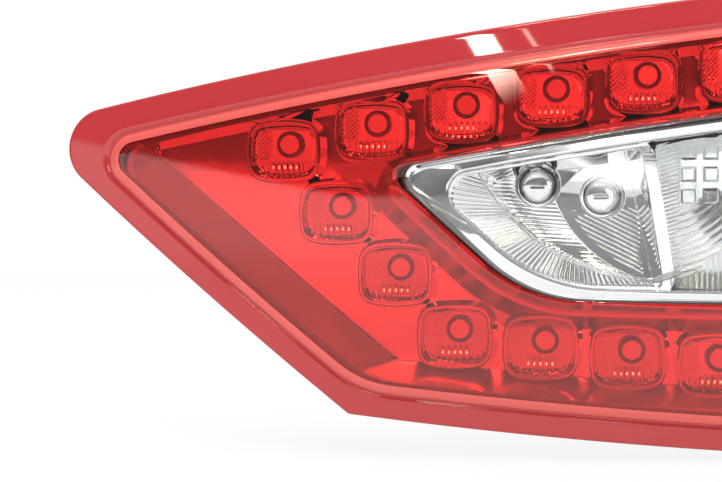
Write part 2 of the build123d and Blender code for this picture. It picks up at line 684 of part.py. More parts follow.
with BuildPart() as mount_studs:
    for place in STUDS:
        extrude(disc(place, STUD_ROOT_RADIUS, 0), amount=STUD_GRIP)
        extrude(disc(place, STUD_RADIUS, 0), amount=-STUD_REACH)
save(mount_studs.part, "mount_studs")

with BuildPart() as body_gasket:
    extrude(BOX.inset(GASKET_EDGE).face(0), amount=BOX_BACK)
    extrude(BOX.inset(GASKET_EDGE + GASKET_WIDE).face(0), amount=BOX_BACK, mode=Mode.SUBTRACT)
save(body_gasket.part, "body_gasket")

with BuildPart() as connector_pins:
    for place in pin_places:
        tail_end = WING_BACK - PIN_REACH
        extrude(block(place, PIN_SIZE, PIN_SIZE, tail_end), amount=BOARD_REAR - tail_end)
save(connector_pins.part, "connector_pins")

with BuildPart() as breather_cap:
    extrude(disc(BREATHER_PLACE, SPIGOT_RADIUS + CAP_WALL, WING_BACK), amount=-SPIGOT_LONG - CAP_TOP)
    extrude(disc(BREATHER_PLACE, SPIGOT_RADIUS, WING_BACK), amount=-SPIGOT_LONG, mode=Mode.SUBTRACT)
save(breather_cap.part, "breather_cap")

# Bulbs, filaments, holders and holder seals
bulb_names = ["turn_1", "turn_2", "reverse"]
bulb_side = BULB_TOP - BULB_RADIUS
wedge_rear = BARREL_FRONT - WEDGE_LONG
flange_front = BOX_BACK - HOLDER_SEAL_THICK
flange_rear = flange_front - HOLDER_FLANGE_THICK
body_rear = flange_rear - HOLDER_BODY_LONG
for name, place in zip(bulb_names, BULBS):
    x, z = place
    with BuildPart() as bulb_glass:
        extrude(disc(place, BULB_RADIUS, BARREL_FRONT), amount=bulb_side - BARREL_FRONT)
        with Locations((x, -bulb_side, z)):
            Sphere(BULB_RADIUS)
        bulb_bore = disc(place, BULB_RADIUS - BULB_WALL, BULB_FOOT)
        extrude(bulb_bore, amount=bulb_side - BULB_FOOT, mode=Mode.SUBTRACT)
        with Locations((x, -bulb_side, z)):
            Sphere(BULB_RADIUS - BULB_WALL, mode=Mode.SUBTRACT)
        extrude(block(place, WEDGE_WIDE, WEDGE_THICK, wedge_rear), amount=WEDGE_LONG)
    save(bulb_glass.part, f"{name}_bulb_glass")

    with BuildPart() as bulb_filament:
        for side in (-1, 1):
            lead = (x + side * LEAD_SPREAD, z)
            extrude(disc(lead, LEAD_RADIUS, BULB_FOOT), amount=LEAD_LONG)
        with Locations(Location((x, -BULB_FOOT - LEAD_LONG, z), (0, 90, 0))):
            Cylinder(COIL_RADIUS, 2 * (LEAD_SPREAD + LEAD_RADIUS))
    save(bulb_filament.part, f"{name}_bulb_filament")

    with BuildPart() as bulb_holder:
        extrude(disc(place, BARREL_RADIUS, flange_front), amount=BARREL_FRONT - flange_front)
        extrude(disc(place, HOLDER_FLANGE, flange_rear), amount=HOLDER_FLANGE_THICK)
        extrude(disc(place, HOLDER_BODY_RADIUS, body_rear), amount=HOLDER_BODY_LONG)
        extrude(block(place, GRIP_THICK, GRIP_WIDE, flange_rear - GRIP_LONG), amount=GRIP_LONG)
        extrude(block(place, PLUG_WIDE, PLUG_TALL, body_rear), amount=-PLUG_LONG)
        inner = (PLUG_WIDE - 2 * PLUG_WALL, PLUG_TALL - 2 * PLUG_WALL)
        extrude(block(place, *inner, body_rear), amount=-PLUG_LONG, mode=Mode.SUBTRACT)
        extrude(block(place, WEDGE_WIDE, WEDGE_THICK, wedge_rear), amount=WEDGE_LONG, mode=Mode.SUBTRACT)
    save(bulb_holder.part, f"{name}_bulb_holder")

    with BuildPart() as holder_seal:
        extrude(disc(place, BARREL_RADIUS + HOLDER_SEAL_WIDE, flange_front), amount=HOLDER_SEAL_THICK)
        extrude(disc(place, BARREL_RADIUS, flange_front), amount=HOLDER_SEAL_THICK, mode=Mode.SUBTRACT)
    save(holder_seal.part, f"{name}_holder_seal")
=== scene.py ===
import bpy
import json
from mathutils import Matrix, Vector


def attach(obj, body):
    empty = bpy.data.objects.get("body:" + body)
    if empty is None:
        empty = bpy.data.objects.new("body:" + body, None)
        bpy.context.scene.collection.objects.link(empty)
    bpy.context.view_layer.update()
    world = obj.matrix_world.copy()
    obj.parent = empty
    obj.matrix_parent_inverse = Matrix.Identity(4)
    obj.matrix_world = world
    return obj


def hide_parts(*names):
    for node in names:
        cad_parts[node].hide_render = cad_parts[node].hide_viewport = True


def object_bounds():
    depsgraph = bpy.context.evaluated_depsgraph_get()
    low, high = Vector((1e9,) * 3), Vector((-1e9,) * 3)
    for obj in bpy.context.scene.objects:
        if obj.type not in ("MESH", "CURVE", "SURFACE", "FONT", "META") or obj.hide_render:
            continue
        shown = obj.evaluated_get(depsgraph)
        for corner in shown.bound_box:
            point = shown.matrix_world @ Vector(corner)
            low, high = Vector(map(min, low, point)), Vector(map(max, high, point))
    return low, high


bl_info = {
    "name": "Tail Light Cluster",
    "version": (1, 0, 0),
    "blender": (4, 5, 0),
    "location": "View3D > Sidebar > Tail Light",
    "description": "Lens, optics, bulb chamber, finishes and studio for a tail light cluster",
    "category": "Object",
}

import json

import bpy
import numpy as np
from bpy.props import FloatProperty, FloatVectorProperty, IntProperty, PointerProperty
from bpy.types import Operator, Panel, PropertyGroup
from mathutils import Quaternion, Vector

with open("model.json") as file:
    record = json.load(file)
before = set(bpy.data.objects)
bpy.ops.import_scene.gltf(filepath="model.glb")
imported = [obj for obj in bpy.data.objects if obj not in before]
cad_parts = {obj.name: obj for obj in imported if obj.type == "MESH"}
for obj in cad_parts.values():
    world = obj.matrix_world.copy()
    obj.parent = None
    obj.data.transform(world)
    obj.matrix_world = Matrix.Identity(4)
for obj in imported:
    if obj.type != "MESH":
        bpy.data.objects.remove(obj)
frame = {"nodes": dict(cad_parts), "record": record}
CAD_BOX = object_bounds()

# Outlines and heights are in millimetres of X, Z and height above the car panel; meshes are in metres.
# Corners and their rounds run clockwise from the left tip, margins from the top side.
# A shape's band is a pair of values: the form is absent at the first and full at the second.
MM = 0.001

# Cover: a crown, part of a sphere, with a low rim round a raised island
CROWN = (-25.0, 5.0)
CROWN_RADIUS = 900.0
APEX = 80.0
JOINT = 48.0
LENS_WALL = 2.8
LENS_IOR = 1.585
SIDE_RADIUS = 2700.0
LEAST_ROUND = 1.0
OUTER_CORNERS = [(-202.0, 41.5), (146.0, 95.0), (130.0, -81.0), (-77.0, -65.3)]
OUTER_ROUNDS = [15.0, 12.0, 12.0, 2.8]
RIM_MARGINS = (10.9, 12.0, 8.9, 9.0)
RIM_DROP = 3.0
RIM_ROUND = 1.0
ISLAND_ROUNDS = (10.0, 12.0, 12.0, 40.0)
GROOVE_START = 1.4
GROOVE_STEPS = ((1.0, 0.5), (0.6, 1.0), (0.2, 0.8))  # distance outside the island, share of the depth
INNER_EASE = 0.4
LENS_POINTS = (120, 22)  # points along a side and round a corner
LENS_ROWS = {"edge": 8, "rim": 8, "flank": 12, "island": 24, "inside": 16, "step": 8, "back": 6}

# Clear window, the bright frame and field of the inner mask, and the mouth of the bulb chamber
WINDOW_CORNERS = [(-62.0, 23.5), (100.0, 47.8), (93.0, -24.2), (-12.1, -22.6)]
WINDOW_ROUNDS = [5.0, 8.0, 8.0, 55.0]
WINDOW_GAP = 0.06
WINDOW_POINTS = (110, 20)
WINDOW_ROWS = 30
WINDOW_POLE = 0.03
FIELD_MARGINS = (6.0, 14.0, 11.4, 16.7)
FRAME_MARGINS = (-6.2, -10.0, -12.5, -15.0)
SATIN_EDGE = 1.5
MOUTH_MARGINS = (5.2, 6.0, 4.0, 6.0)
MOUTH_ROUNDS = (8.0, 6.0, 6.0, 60.0)
MOUTH_HEIGHT = 61.4
DIVIDER_TOP = 29.0
DIVIDER_LOW = 37.0
DIVIDER_GAP = 5.0
DIVIDER_ROUND = 2.0

# Window mask: its flange leans most along the top, and its left point falls away above a slanted line
MASK_MARGINS = (1.3, 0.7, 0.35, 0.45)
MASK_LAP = 2.5
MASK_DEPTH = 3.5
MASK_ROUND = 0.9
MASK_EASE = 0.15
MASK_POINTS = (90, 18)
MASK_ROWS = 8
MASK_ROUND_ROWS = 7
LEAN_SIDES = 0.05
LEAN_DOWN = 1.95
POINT_FALL = 0.08
POINT_LINE = (0.5, 12.0)
POINT_BAND = (-18.0, -38.0)

# Lamp pockets: rows are parabolas, highest power first
POCKET_WIDE = 22.6
POCKET_TALL = 17.6
POCKET_ROUND = 5.0
POCKET_BOW = 45.0
TOP_COUNT = 7
TOP_START = -102.1
TOP_PITCH = 33.0
TOP_ROW = (-0.00045, 0.152, 51.6)
LOW_COUNT = 5
LOW_START = (-38.6, -37.3)
LOW_PITCH = 31.4
LOW_ROW = (0.0003, -0.135, LOW_START[1])
SLOPE_STEP = (-21.9, 22.8)

# Clear plugs in the pockets
OPTIC_REAR = 55.5
OPTIC_FRONT = 59.5
REAR_GAP = 0.02
REAR_STEP = 5
SHOULDER_DROP = 1.5
PLUG_GAP = 0.15
PLUG_POINTS = ((44, 36, 100, 36), 16)
PLUG_ROWS = 26
PLUG_CROWN = 0.5
PLUG_EASE = 2.0
RELIEF_BAND = (0.2, 0.9)
PLUG_RIB = 0.5
FOOT_BAND = (-3.6, -4.6)
DOT_TALL = 0.35
DOT_PITCH = 1.7
DOT_SIDE = (-5.2, -6.4)
DOT_FLOOR = (-3.4, -2.4)
EYE_PLACE = (1.8, 2.6)
MOAT_DEPTH = 0.9
MOAT_EDGE = 0.15
MOAT_WALL = 0.4
DISC_PROUD = 0.2
DISC_EDGE = 0.3
DISC_LAP = 0.1
DISC_SHARES = (0.6, 0.2)
FACET_COUNT = 5
FACET_HALF = (0.4, 0.9)
FACET_PLACE = -5.8
FACET_DROP = 0.2
FACET_ACROSS = (0.0016, 0.015)  # slope for each millimetre of the pocket's X, and slope at the origin
FACET_UPWARDS = (0.00144, -0.4)  # the same for its Z

# Turn signal bowl: a line is its start, end and bow
BOWL_SIDES = (110, 140, 90, 80)
BOWL_BENDS = (100, 20, 20, 190)
BOWL_ROWS = 100
BOWL_MIDDLE = (6.0, 9.0)
BOWL_BACK = 28.0
POLE_SHARE = 0.02
VALLEY_LINE = ((-25.4, 17.2), (25.9, -15.7), 6.7)
VALLEY_HEIGHT = (39.0, 7.0)  # height at the start, and rise to the end
CREST_LINE = ((-2.1, 15.2), (25.2, -14.6), 4.1)
CREST_HEIGHT = (43.5, 5.0)
ON_LINE = 1e-6
WALL_RIB = 0.32
WALL_RIB_BAND = (0.3, 1.2)
WALL_STEP = 0.9
BROW_DROP = 0.5
BROW_SLOPE = 0.15
FLUTE_TALL = 0.08
FLUTE_TILT = 0.06
FLUTE_EASE = 0.6
SMOOTH_SLOPE = 0.25
FAN_TALL = 0.2
FAN_SHARP = 4
FAN_TURN = (0.45, 0.89)
FAN_START = (2.5, 4.0)
FAN_RIGHT = (31.0, 29.0)
FAN_TOP = (8.5, 7.0)
FAN_TOP_SLOPE = 0.15
FAN_TOP_X = 12.0
STEEP = 7.0
BULB_HOLE = (8.4, 7.8)
DIVIDER_RISE = 1.6
DIVIDER_EASE = 8
BOWL_SKIN = ((2.0, 4.4), (1.8, 4.2), (0.1, 0.5), (0.05, 0.3))  # lap over the mouth, and over the divider

# Patterned plate of the reversing lamp: each relief is a height and a pitch
PLATE_REAR = 58.4
PLATE_LAP = 2.0
PLATE_POINTS = (110, 14)
PLATE_ROWS = 90
PLATE_REAR_STEP = 10
PLATE_EDGE = (0.5, 1.2)
BLOCKS = (0.9, 8.0)
BLOCK_PLACE = (46.0, 22.0)
BLOCK_BAND = (-0.5, -0.1)
BLOCK_LINE = (40.0, 0.15)  # start and slope of the line over which the blocks stand
BLOCK_START = (9.0, 9.8)
ARCS = (0.45, 2.4)
ARC_MIDDLE = (34.0, 34.0)
FLUTES = (0.45, 1.9)
FLUTE_LINE = (38.0, -20.0, 0.72)  # X, Z and slope of the line under which the flutes stand
FLUTE_BAND = (0.6, -0.6)
BARS = (0.4, 1.5)
BAR_TILT = 0.3
BAR_RIGHT = 42.6

# Bulbs: place of each axis, and the glass on it
BULBS = {"turn_1": (-7.8, 19.0), "turn_2": (16.5, 14.8), "reverse": (60.0, 9.0)}
BULB_FOOT = 21.0
BULB_TOP = 45.0
BULB_WALL = 0.8
BULB_FLOOR = 25.0
BULB_POLE = 0.1
BULB_DOME_ROWS = 19

# Finishes
CLOUD_DETAIL = 3.0
GLOSS_DRIFT = 0.2

# Studio, in metres; in a band one level fades into another, in the surround along a unit direction
FIELD_EDGE_SLOPE = -0.213
FIELD_EDGE_LEVEL = 0.05
FIELD_EDGE_SOFT = 0.006
FIELD_BAND = (-0.78, -0.5)
CEILING_BAND = (0.55, 0.8)
BEHIND_BAND = (-0.05, 0.35)
FLOOR_HALF = 3.0
FLOOR_COLOUR = (0.9, 0.9, 0.9, 1.0)
FLOOR_ROUGH = 0.9
FLOOR_BAND = (-2.5, -0.4)
SENSOR_WIDTH = 36.0  # millimetres
LAMP_WALL = -1.5
WARM = (1.0, 0.95, 0.8)
YELLOW = (1.0, 0.95, 0.55)
MIDDLE = (0.0, 0.0, 0.0)
LAMPS = {
    "overhead": {"place": (0.3, -0.3, 1.5), "size": (1.6, 1.2), "glow": 0.8, "aim": MIDDLE},
    "spark": {"place": (0.12, -0.9, 1.0), "size": (0.2, 0.12), "glow": 30.0, "tint": WARM, "aim": MIDDLE},
    "glint": {"place": (0.0, -0.9, 0.8), "size": (0.16, 0.1), "glow": 40.0, "tint": YELLOW, "aim": MIDDLE},
    "beam": {
        "place": (-0.052, LAMP_WALL, 0.45), "size": (0.066, 0.3), "glow": 30.0, "tint": WARM, "lean": 0.51,
        "edges": (0.03, 0.6),
    },
    "thin_beam": {
        "place": (0.06, LAMP_WALL, 0.475), "size": (0.012, 0.2), "glow": 8.0, "tint": WARM, "lean": 0.55,
        "edges": (0.1, 0.2),
    },
    "flash": {"place": (0.27, LAMP_WALL, 0.137), "size": (0.24, 0.1), "glow": 12.0, "edges": (0.5, 0.5)},
}


class Outline:
    """A four-sided outline: corners clockwise from the left tip seen from the front, rounds, bowed sides."""

    def __init__(self, corners, rounds, side_radius=SIDE_RADIUS):
        self.corners = np.array(corners, float)
        self.rounds = np.array(rounds, float)
        self.side_radius = side_radius

    def inset(self, *margins):
        """Each side moved inwards by its margin: top, right, bottom, left, or one for all."""
        margins = np.array(margins * 4 if len(margins) == 1 else margins, float)
        along = np.roll(self.corners, -1, 0) - self.corners
        along /= np.linalg.norm(along, axis=1, keepdims=True)
        inwards = np.stack([along[:, 1], -along[:, 0]], 1)
        start = self.corners + inwards * margins[:, None]
        before, run = np.roll(start, 1, 0), np.roll(along, 1, 0)
        gap = start - before
        reach = (gap[:, 0] * along[:, 1] - gap[:, 1] * along[:, 0]) / (
            run[:, 0] * along[:, 1] - run[:, 1] * along[:, 0]
        )
        rounds = np.maximum(self.rounds - (np.roll(margins, 1) + margins) / 2, LEAST_ROUND)
        return Outline(before + run * reach[:, None], rounds, self.side_radius)

    def rounded(self, *rounds):
        """The same corners with other rounds."""
        return Outline(self.corners, rounds, self.side_radius)

    def ring(self, sides, bends):
        """Points round the outline: each corner as an arc that touches both sides, each side as a flat arc.

        Either count is one number, or one for each side from the top or each corner from the tip.
        """
        counts, turns = np.broadcast_to(sides, 4), np.broadcast_to(bends, 4)
        start, end = self.corners, np.roll(self.corners, -1, 0)
        chord = np.linalg.norm(end - start, axis=1)
        along = (end - start) / chord[:, None]
        inwards = np.stack([along[:, 1], -along[:, 0]], 1)
        sag = chord**2 / (8 * self.side_radius)
        radius = self.side_radius + sag / 2
        centre = (start + end) / 2 + inwards * (radius - sag)[:, None]
        c0, r0 = np.roll(centre, 1, 0), np.roll(radius, 1) - self.rounds
        c1, r1 = centre, radius - self.rounds
        span = np.linalg.norm(c1 - c0, axis=1)
        toward = (c1 - c0) / span[:, None]
        foot = (r0**2 - r1**2 + span**2) / (2 * span)
        rise = np.sqrt(r0**2 - foot**2)
        middle = c0 + toward * foot[:, None]
        across = np.stack([-toward[:, 1], toward[:, 0]], 1) * rise[:, None]
        one, two = middle + across, middle - across
        nearer = np.linalg.norm(one - start, axis=1) < np.linalg.norm(two - start, axis=1)
        pivot = np.where(nearer[:, None], one, two)
        arrive = pivot + (pivot - c0) / r0[:, None] * self.rounds[:, None]
        leave = pivot + (pivot - c1) / r1[:, None] * self.rounds[:, None]
        parts = []
        for k in range(4):
            parts.append(clockwise_arc(pivot[k], arrive[k], leave[k], turns[k]))
            parts.append(clockwise_arc(centre[k], leave[k], arrive[(k + 1) % 4], counts[k]))
        return np.concatenate(parts)


class Rings:
    """Rings of flat points with their heights, gathered in order as the rows of one closed surface."""

    def __init__(self):
        self.flat, self.heights = [], []

    def add(self, ring, height):
        """A ring at one height, or with a height for each point."""
        self.flat.append(ring)
        self.heights.append(np.broadcast_to(height, ring.shape[:1]))

    def sink(self, ring, depth):
        """A ring at a depth below the crown."""
        self.add(ring, crown(ring, depth))

    def piece(self, name, finishes, finish_of_row=None):
        """The surface as an object, the last row joined to the first, with a finish for each row."""
        points = placed(np.array(self.flat), np.array(self.heights))
        rows, columns = points.shape[:2]
        faces = grid_faces(rows, columns, close_rows=True)
        index = None if finish_of_row is None else np.repeat(finish_of_row, columns)
        return shape_mesh(name, points.reshape(-1, 3), [faces], finishes, index)


def clockwise_arc(centre, first, last, count):
    """Points on a circle from the first to just before the last, turning clockwise."""
    a, b = first - centre, last - centre
    start = np.arctan2(a[1], a[0])
    turn = (start - np.arctan2(b[1], b[0])) % (2 * np.pi)
    angle = start - turn * np.arange(count) / count
    return centre + np.linalg.norm(a) * np.stack([np.cos(angle), np.sin(angle)], 1)


def on_chord(first, last, x):
    """The point of a straight side at a given X."""
    return (x, first[1] + (last[1] - first[1]) * (x - first[0]) / (last[0] - first[0]))


def inside_side(flat, start, end):
    """Distance of flat points inside a straight side that runs clockwise from its start to its end."""
    along = (end - start) / np.linalg.norm(end - start)
    return (flat - start) @ np.array([along[1], -along[0]])


def crown(flat, depth):
    """Height of the lens crown over flat points, a sphere, at a depth below its front."""
    gap = flat - np.array(CROWN)
    return np.sqrt((CROWN_RADIUS - depth) ** 2 - (gap**2).sum(-1)) - (CROWN_RADIUS - APEX)


def smooth_step(low, high, value):
    """0 at and beyond the low value, 1 at and beyond the high one, and a smooth cubic between them."""
    share = np.clip((value - low) / (high - low), 0, 1)
    return share * share * (3 - 2 * share)


def ridges(along, tall, pitch):
    """Round ridges side by side: the size of a sine of the distance along."""
    return tall * np.abs(np.sin(np.pi * along / pitch))


def shrunk(ring, middle, shares):
    """Copies of a ring shrunk towards a middle, one for each share of its size."""
    return middle + (ring - middle) * shares[:, None, None]


def blend_rows(first, last, count):
    """Rows of points from just after the first ring to the last one."""
    share = (np.arange(count) + 1) / count
    return first + (last - first) * share[:, None, None]


def placed(flat, height):
    """Points in metres from flat millimetre points and heights: the height runs towards -Y."""
    height = np.broadcast_to(height, flat.shape[:-1])
    return np.stack([flat[..., 0], -height, flat[..., 1]], -1) * MM


def grid_faces(rows, columns, close_rows=False, first=0):
    """Quads of a grid whose rows run inwards on a front face and whose columns run clockwise round it."""
    r, c = np.meshgrid(np.arange(rows if close_rows else rows - 1), np.arange(columns), indexing="ij")
    r2, c2 = (r + 1) % rows, (c + 1) % columns
    quads = [r * columns + c, r2 * columns + c, r2 * columns + c2, r * columns + c2]
    return np.stack(quads, -1).reshape(-1, 4) + first


def fan_faces(ring_start, columns, pole, front):
    """Triangles from a ring of points to a pole."""
    c = np.arange(columns)
    near, far = ring_start + c, ring_start + (c + 1) % columns
    order = [near, np.full(columns, pole), far] if front else [far, np.full(columns, pole), near]
    return np.stack(order, -1)


def capped_faces(rows, columns, first=0):
    """Faces of a grid that is closed at both ends by poles; the two poles follow the grid's points."""
    pole = first + rows * columns
    return [
        grid_faces(rows, columns, first=first),
        fan_faces(first, columns, pole, False),
        fan_faces(pole - columns, columns, pole + 1, True),
    ]


def shape_mesh(name, points, face_sets, finishes, finish_index=None):
    """An object at the origin from points and sets of faces, shaded smooth."""
    mesh = bpy.data.meshes.new(name)
    corners = np.concatenate([faces.ravel() for faces in face_sets])
    sizes = np.concatenate([np.full(len(faces), faces.shape[1]) for faces in face_sets])
    mesh.vertices.add(len(points))
    mesh.vertices.foreach_set("co", np.ascontiguousarray(points, np.float32).ravel())
    mesh.loops.add(len(corners))
    mesh.loops.foreach_set("vertex_index", corners.astype(np.int32))
    mesh.polygons.add(len(sizes))
    mesh.polygons.foreach_set("loop_start", (np.cumsum(sizes) - sizes).astype(np.int32))
    mesh.polygons.foreach_set("use_smooth", np.ones(len(sizes), bool))
    for finish in finishes:
        mesh.materials.append(finish)
    if finish_index is not None:
        mesh.polygons.foreach_set("material_index", finish_index.astype(np.int32))
    mesh.update(calc_edges=True)
    if mesh.validate():
        raise RuntimeError(f"{name}: the mesh had to be mended")
    piece = bpy.data.objects.new(name, mesh)
    bpy.context.scene.collection.objects.link(piece)
    return piece


def fit_piece(piece, node):
    """The piece rides on the lamp and stands for a solid, whose own mesh is hidden."""
    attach(piece, "root")
    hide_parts(node)


OUTER = Outline(OUTER_CORNERS, OUTER_ROUNDS)
ISLAND = OUTER.inset(*RIM_MARGINS).rounded(*ISLAND_ROUNDS)
FIELD = ISLAND.inset(*FIELD_MARGINS)
WINDOW = Outline(WINDOW_CORNERS, WINDOW_ROUNDS)
WINDOW_FRAME = WINDOW.inset(*FRAME_MARGINS)
MOUTH = WINDOW.inset(*MOUTH_MARGINS).rounded(*MOUTH_ROUNDS)
TIP, TOP, LOW, BEND = MOUTH.corners
TURN = Outline(
    [TIP, on_chord(TIP, TOP, DIVIDER_TOP), on_chord(BEND, LOW, DIVIDER_LOW), BEND],
    [MOUTH_ROUNDS[0], DIVIDER_ROUND, DIVIDER_ROUND, MOUTH_ROUNDS[3]],
)
REVERSE = Outline(
    [
        on_chord(TIP, TOP, DIVIDER_TOP + DIVIDER_GAP),
        TOP,
        LOW,
        on_chord(BEND, LOW, DIVIDER_LOW + DIVIDER_GAP),
    ],
    [DIVIDER_ROUND, MOUTH_ROUNDS[1], MOUTH_ROUNDS[2], DIVIDER_ROUND],
)


def pocket_places():
    """Middles of the lamp pockets: a bowed top row, two on the slope, a bowed low row."""
    top = TOP_START + TOP_PITCH * np.arange(TOP_COUNT)
    low = LOW_PITCH * np.arange(LOW_COUNT)
    steps = np.array([[2.0], [1.0]])
    rows = [
        np.stack([top, np.polyval(TOP_ROW, top)], 1),
        np.array(LOW_START) + steps * np.array(SLOPE_STEP),
        np.stack([LOW_START[0] + low, np.polyval(LOW_ROW, low)], 1),
    ]
    return np.concatenate(rows)


def length_setting(name, description, default, low, high):
    """A length that a user may change."""
    return FloatProperty(
        name=name, description=description, default=default, min=low, max=high,
        subtype="DISTANCE", unit="LENGTH",
    )


def colour_setting(name, description, red, green, blue):
    """A colour that a user may change."""
    return FloatVectorProperty(
        name=name, description=description, default=(red, green, blue, 1.0), size=4, min=0.0, max=1.0,
        subtype="COLOR",
    )


def level_setting(name, description, default, high=1.0):
    """A share, a slope or a brightness that a user may change."""
    return FloatProperty(name=name, description=description, default=default, min=0.0, max=high)


def place_setting(name, description, default):
    """A place in the studio that a user may change."""
    return FloatVectorProperty(
        name=name, description=description, default=default, size=3, subtype="TRANSLATION", unit="LENGTH"
    )


class LensSettings(PropertyGroup):
    """Sizes and colours of the red lens and the clear window."""

    flank_top: length_setting(
        "Flank at top", "Width of the raised island's flank along the top", 0.0031, 0.0005, 0.004
    )
    flank_low: length_setting(
        "Flank below", "Width of the island's flank on its other sides", 0.0036, 0.0005, 0.005
    )
    groove: length_setting("Groove depth", "Depth of the groove round the island's foot", 0.0004, 0.0, 0.001)
    red: colour_setting("Lens red", "Tint of the red lens over the lamp pockets", 0.98, 0.16, 0.15)
    rim: colour_setting("Rim red", "Colour of the low rim, which is hazed from behind", 0.56, 0.042, 0.05)
    # Its pale pink is partly a painted highlight, standing in for light that catches the flank
    flank: colour_setting("Flank red", "Colour of the island's hazed flank", 0.95, 0.14, 0.125)
    clear: colour_setting("Window tint", "Tint of the clear window", 0.97, 0.98, 0.98)


class OpticSettings(PropertyGroup):
    """Sizes and colour of the clear plugs in the lamp pockets."""

    eye: length_setting("Eye radius", "Radius of the round boss on a plug", 0.0050, 0.002, 0.0065)
    pupil: length_setting("Pupil radius", "Radius of the flat disc on the boss", 0.0036, 0.001, 0.005)
    rib_pitch: length_setting(
        "Rib pitch", "Distance between the upright ribs at the foot of a plug", 0.0022, 0.001, 0.004
    )
    lean: level_setting(
        "Plug lean",
        "Slope of a plug's front, thick at its foot; the disc leans the other way by half of it",
        0.10, 0.2,
    )
    tint: colour_setting("Plug tint", "Tint of the clear plugs and of the patterned plate", 0.96, 0.97, 0.97)


class ChamberSettings(PropertyGroup):
    """Sizes of the bulb chamber behind the window."""

    rib_pitch: length_setting(
        "Wall rib pitch", "Distance between the ribs on the lower wall", 0.0020, 0.001, 0.005
    )
    flute_pitch: length_setting(
        "Flute pitch", "Distance between the flutes of the middle facet", 0.0015, 0.0008, 0.005
    )
    fan_pitch: length_setting(
        "Fan pitch", "Distance between the slanted ribs of the smooth facet", 0.0016, 0.0008, 0.005
    )
    bulb_radius: length_setting("Bulb radius", "Outer radius of a bulb's glass", 0.0072, 0.005, 0.0078)
    segments: IntProperty(
        name="Bulb segments", description="Points round a bulb's glass", default=72, min=24, max=128
    )


class FinishSettings(PropertyGroup):
    """Colours and gloss of the metals and the housing."""

    chrome: colour_setting(
        "Bright metal", "Vacuum metal of the inner mask and the reflectors", 0.94, 0.94, 0.95
    )
    smoked: colour_setting("Mask metal", "Duller vacuum metal of the mask inside the window", 0.9, 0.9, 0.9)
    border: level_setting("Border roughness", "Roughness of the inner mask's satin border", 0.34)
    border_haze: level_setting("Border haze", "Share of plain white in the inner mask's satin border", 0.6)
    frame: level_setting("Frame roughness", "Roughness of the inner mask's frame round the window", 0.2)
    frame_haze: level_setting("Frame haze", "Share of plain white in that frame", 0.35)
    mask_lean: level_setting(
        "Mask lean", "Slope of the window mask's flange, down towards the mouth", 0.034, 0.5
    )
    housing: colour_setting("Housing black", "Moulded black of the housing", 0.022, 0.022, 0.024)


class StageSettings(PropertyGroup):
    """Camera and studio."""

    camera: place_setting("Camera place", "Where the camera stands", (-0.017285, -0.595914, -0.00216))
    aim: place_setting("Camera aim", "Point that the camera looks at", (-0.07164, -0.078762, -0.00216))
    lens: FloatProperty(
        name="Focal length", description="Focal length of the camera in millimetres", default=72.0, min=20.0,
        max=200.0,
    )
    field_level: level_setting(
        "Field level",
        "Brightness of the soft field in front of the lamp, in mirrors and clear parts",
        1.45, 3.0,
    )
    front_level: level_setting(
        "Front level", "Brightness of the studio in front of the lamp, in mirrors and clear parts", 0.18
    )
    ceiling_level: level_setting(
        "Ceiling level",
        "Brightness of the studio high in front of the lamp, in mirrors and clear parts",
        0.5,
    )
    room_level: level_setting("Room level", "Brightness of the surround as dull surfaces see it", 0.85)
    floor_white: level_setting(
        "Floor white", "Share of plain white in the floor as seen; the rest keeps the lamp's shadow", 0.85
    )
    floor_level: level_setting(
        "Floor level", "Strength of that white, so that the open floor adds up to 1", 1.03, 1.2
    )
    floor_gap: length_setting("Floor gap", "How far the floor lies below the lamp", 0.001, 0.0, 0.1)


def feed(tree, socket, value):
    """A value for a node's socket: a number, or another node's output."""
    if isinstance(value, (int, float)):
        socket.default_value = value
    else:
        tree.links.new(value, socket)


def dial(node, levels):
    """Numbers or colours for a node's inputs, by their names."""
    for name, level in levels.items():
        node.inputs[name].default_value = level


def work_out(tree, operation, first, second=0.0):
    """A Math node on two values, each a socket or a number."""
    node = tree.nodes.new("ShaderNodeMath")
    node.operation = operation
    feed(tree, node.inputs[0], first)
    feed(tree, node.inputs[1], second)
    return node.outputs[0]


def fade(tree, value, band, at_low, at_high):
    """A smooth change from one level to another as the value passes through a band."""
    node = tree.nodes.new("ShaderNodeMapRange")
    node.interpolation_type = "SMOOTHSTEP"
    dial(node, {"From Min": band[0], "From Max": band[1], "To Min": at_low, "To Max": at_high})
    tree.links.new(value, node.inputs["Value"])
    return node.outputs["Result"]


def mixed(tree, share, low, high):
    """A Mix node between two levels, each a socket or a number."""
    node = tree.nodes.new("ShaderNodeMix")
    for socket, value in zip((node.inputs[0], node.inputs[2], node.inputs[3]), (share, low, high)):
        feed(tree, socket, value)
    return node.outputs[0]


def coordinates(tree, kind, node="ShaderNodeTexCoord"):
    """X, Y and Z of one kind of coordinates."""
    split = tree.nodes.new("ShaderNodeSeparateXYZ")
    tree.links.new(tree.nodes.new(node).outputs[kind], split.inputs[0])
    return split.outputs


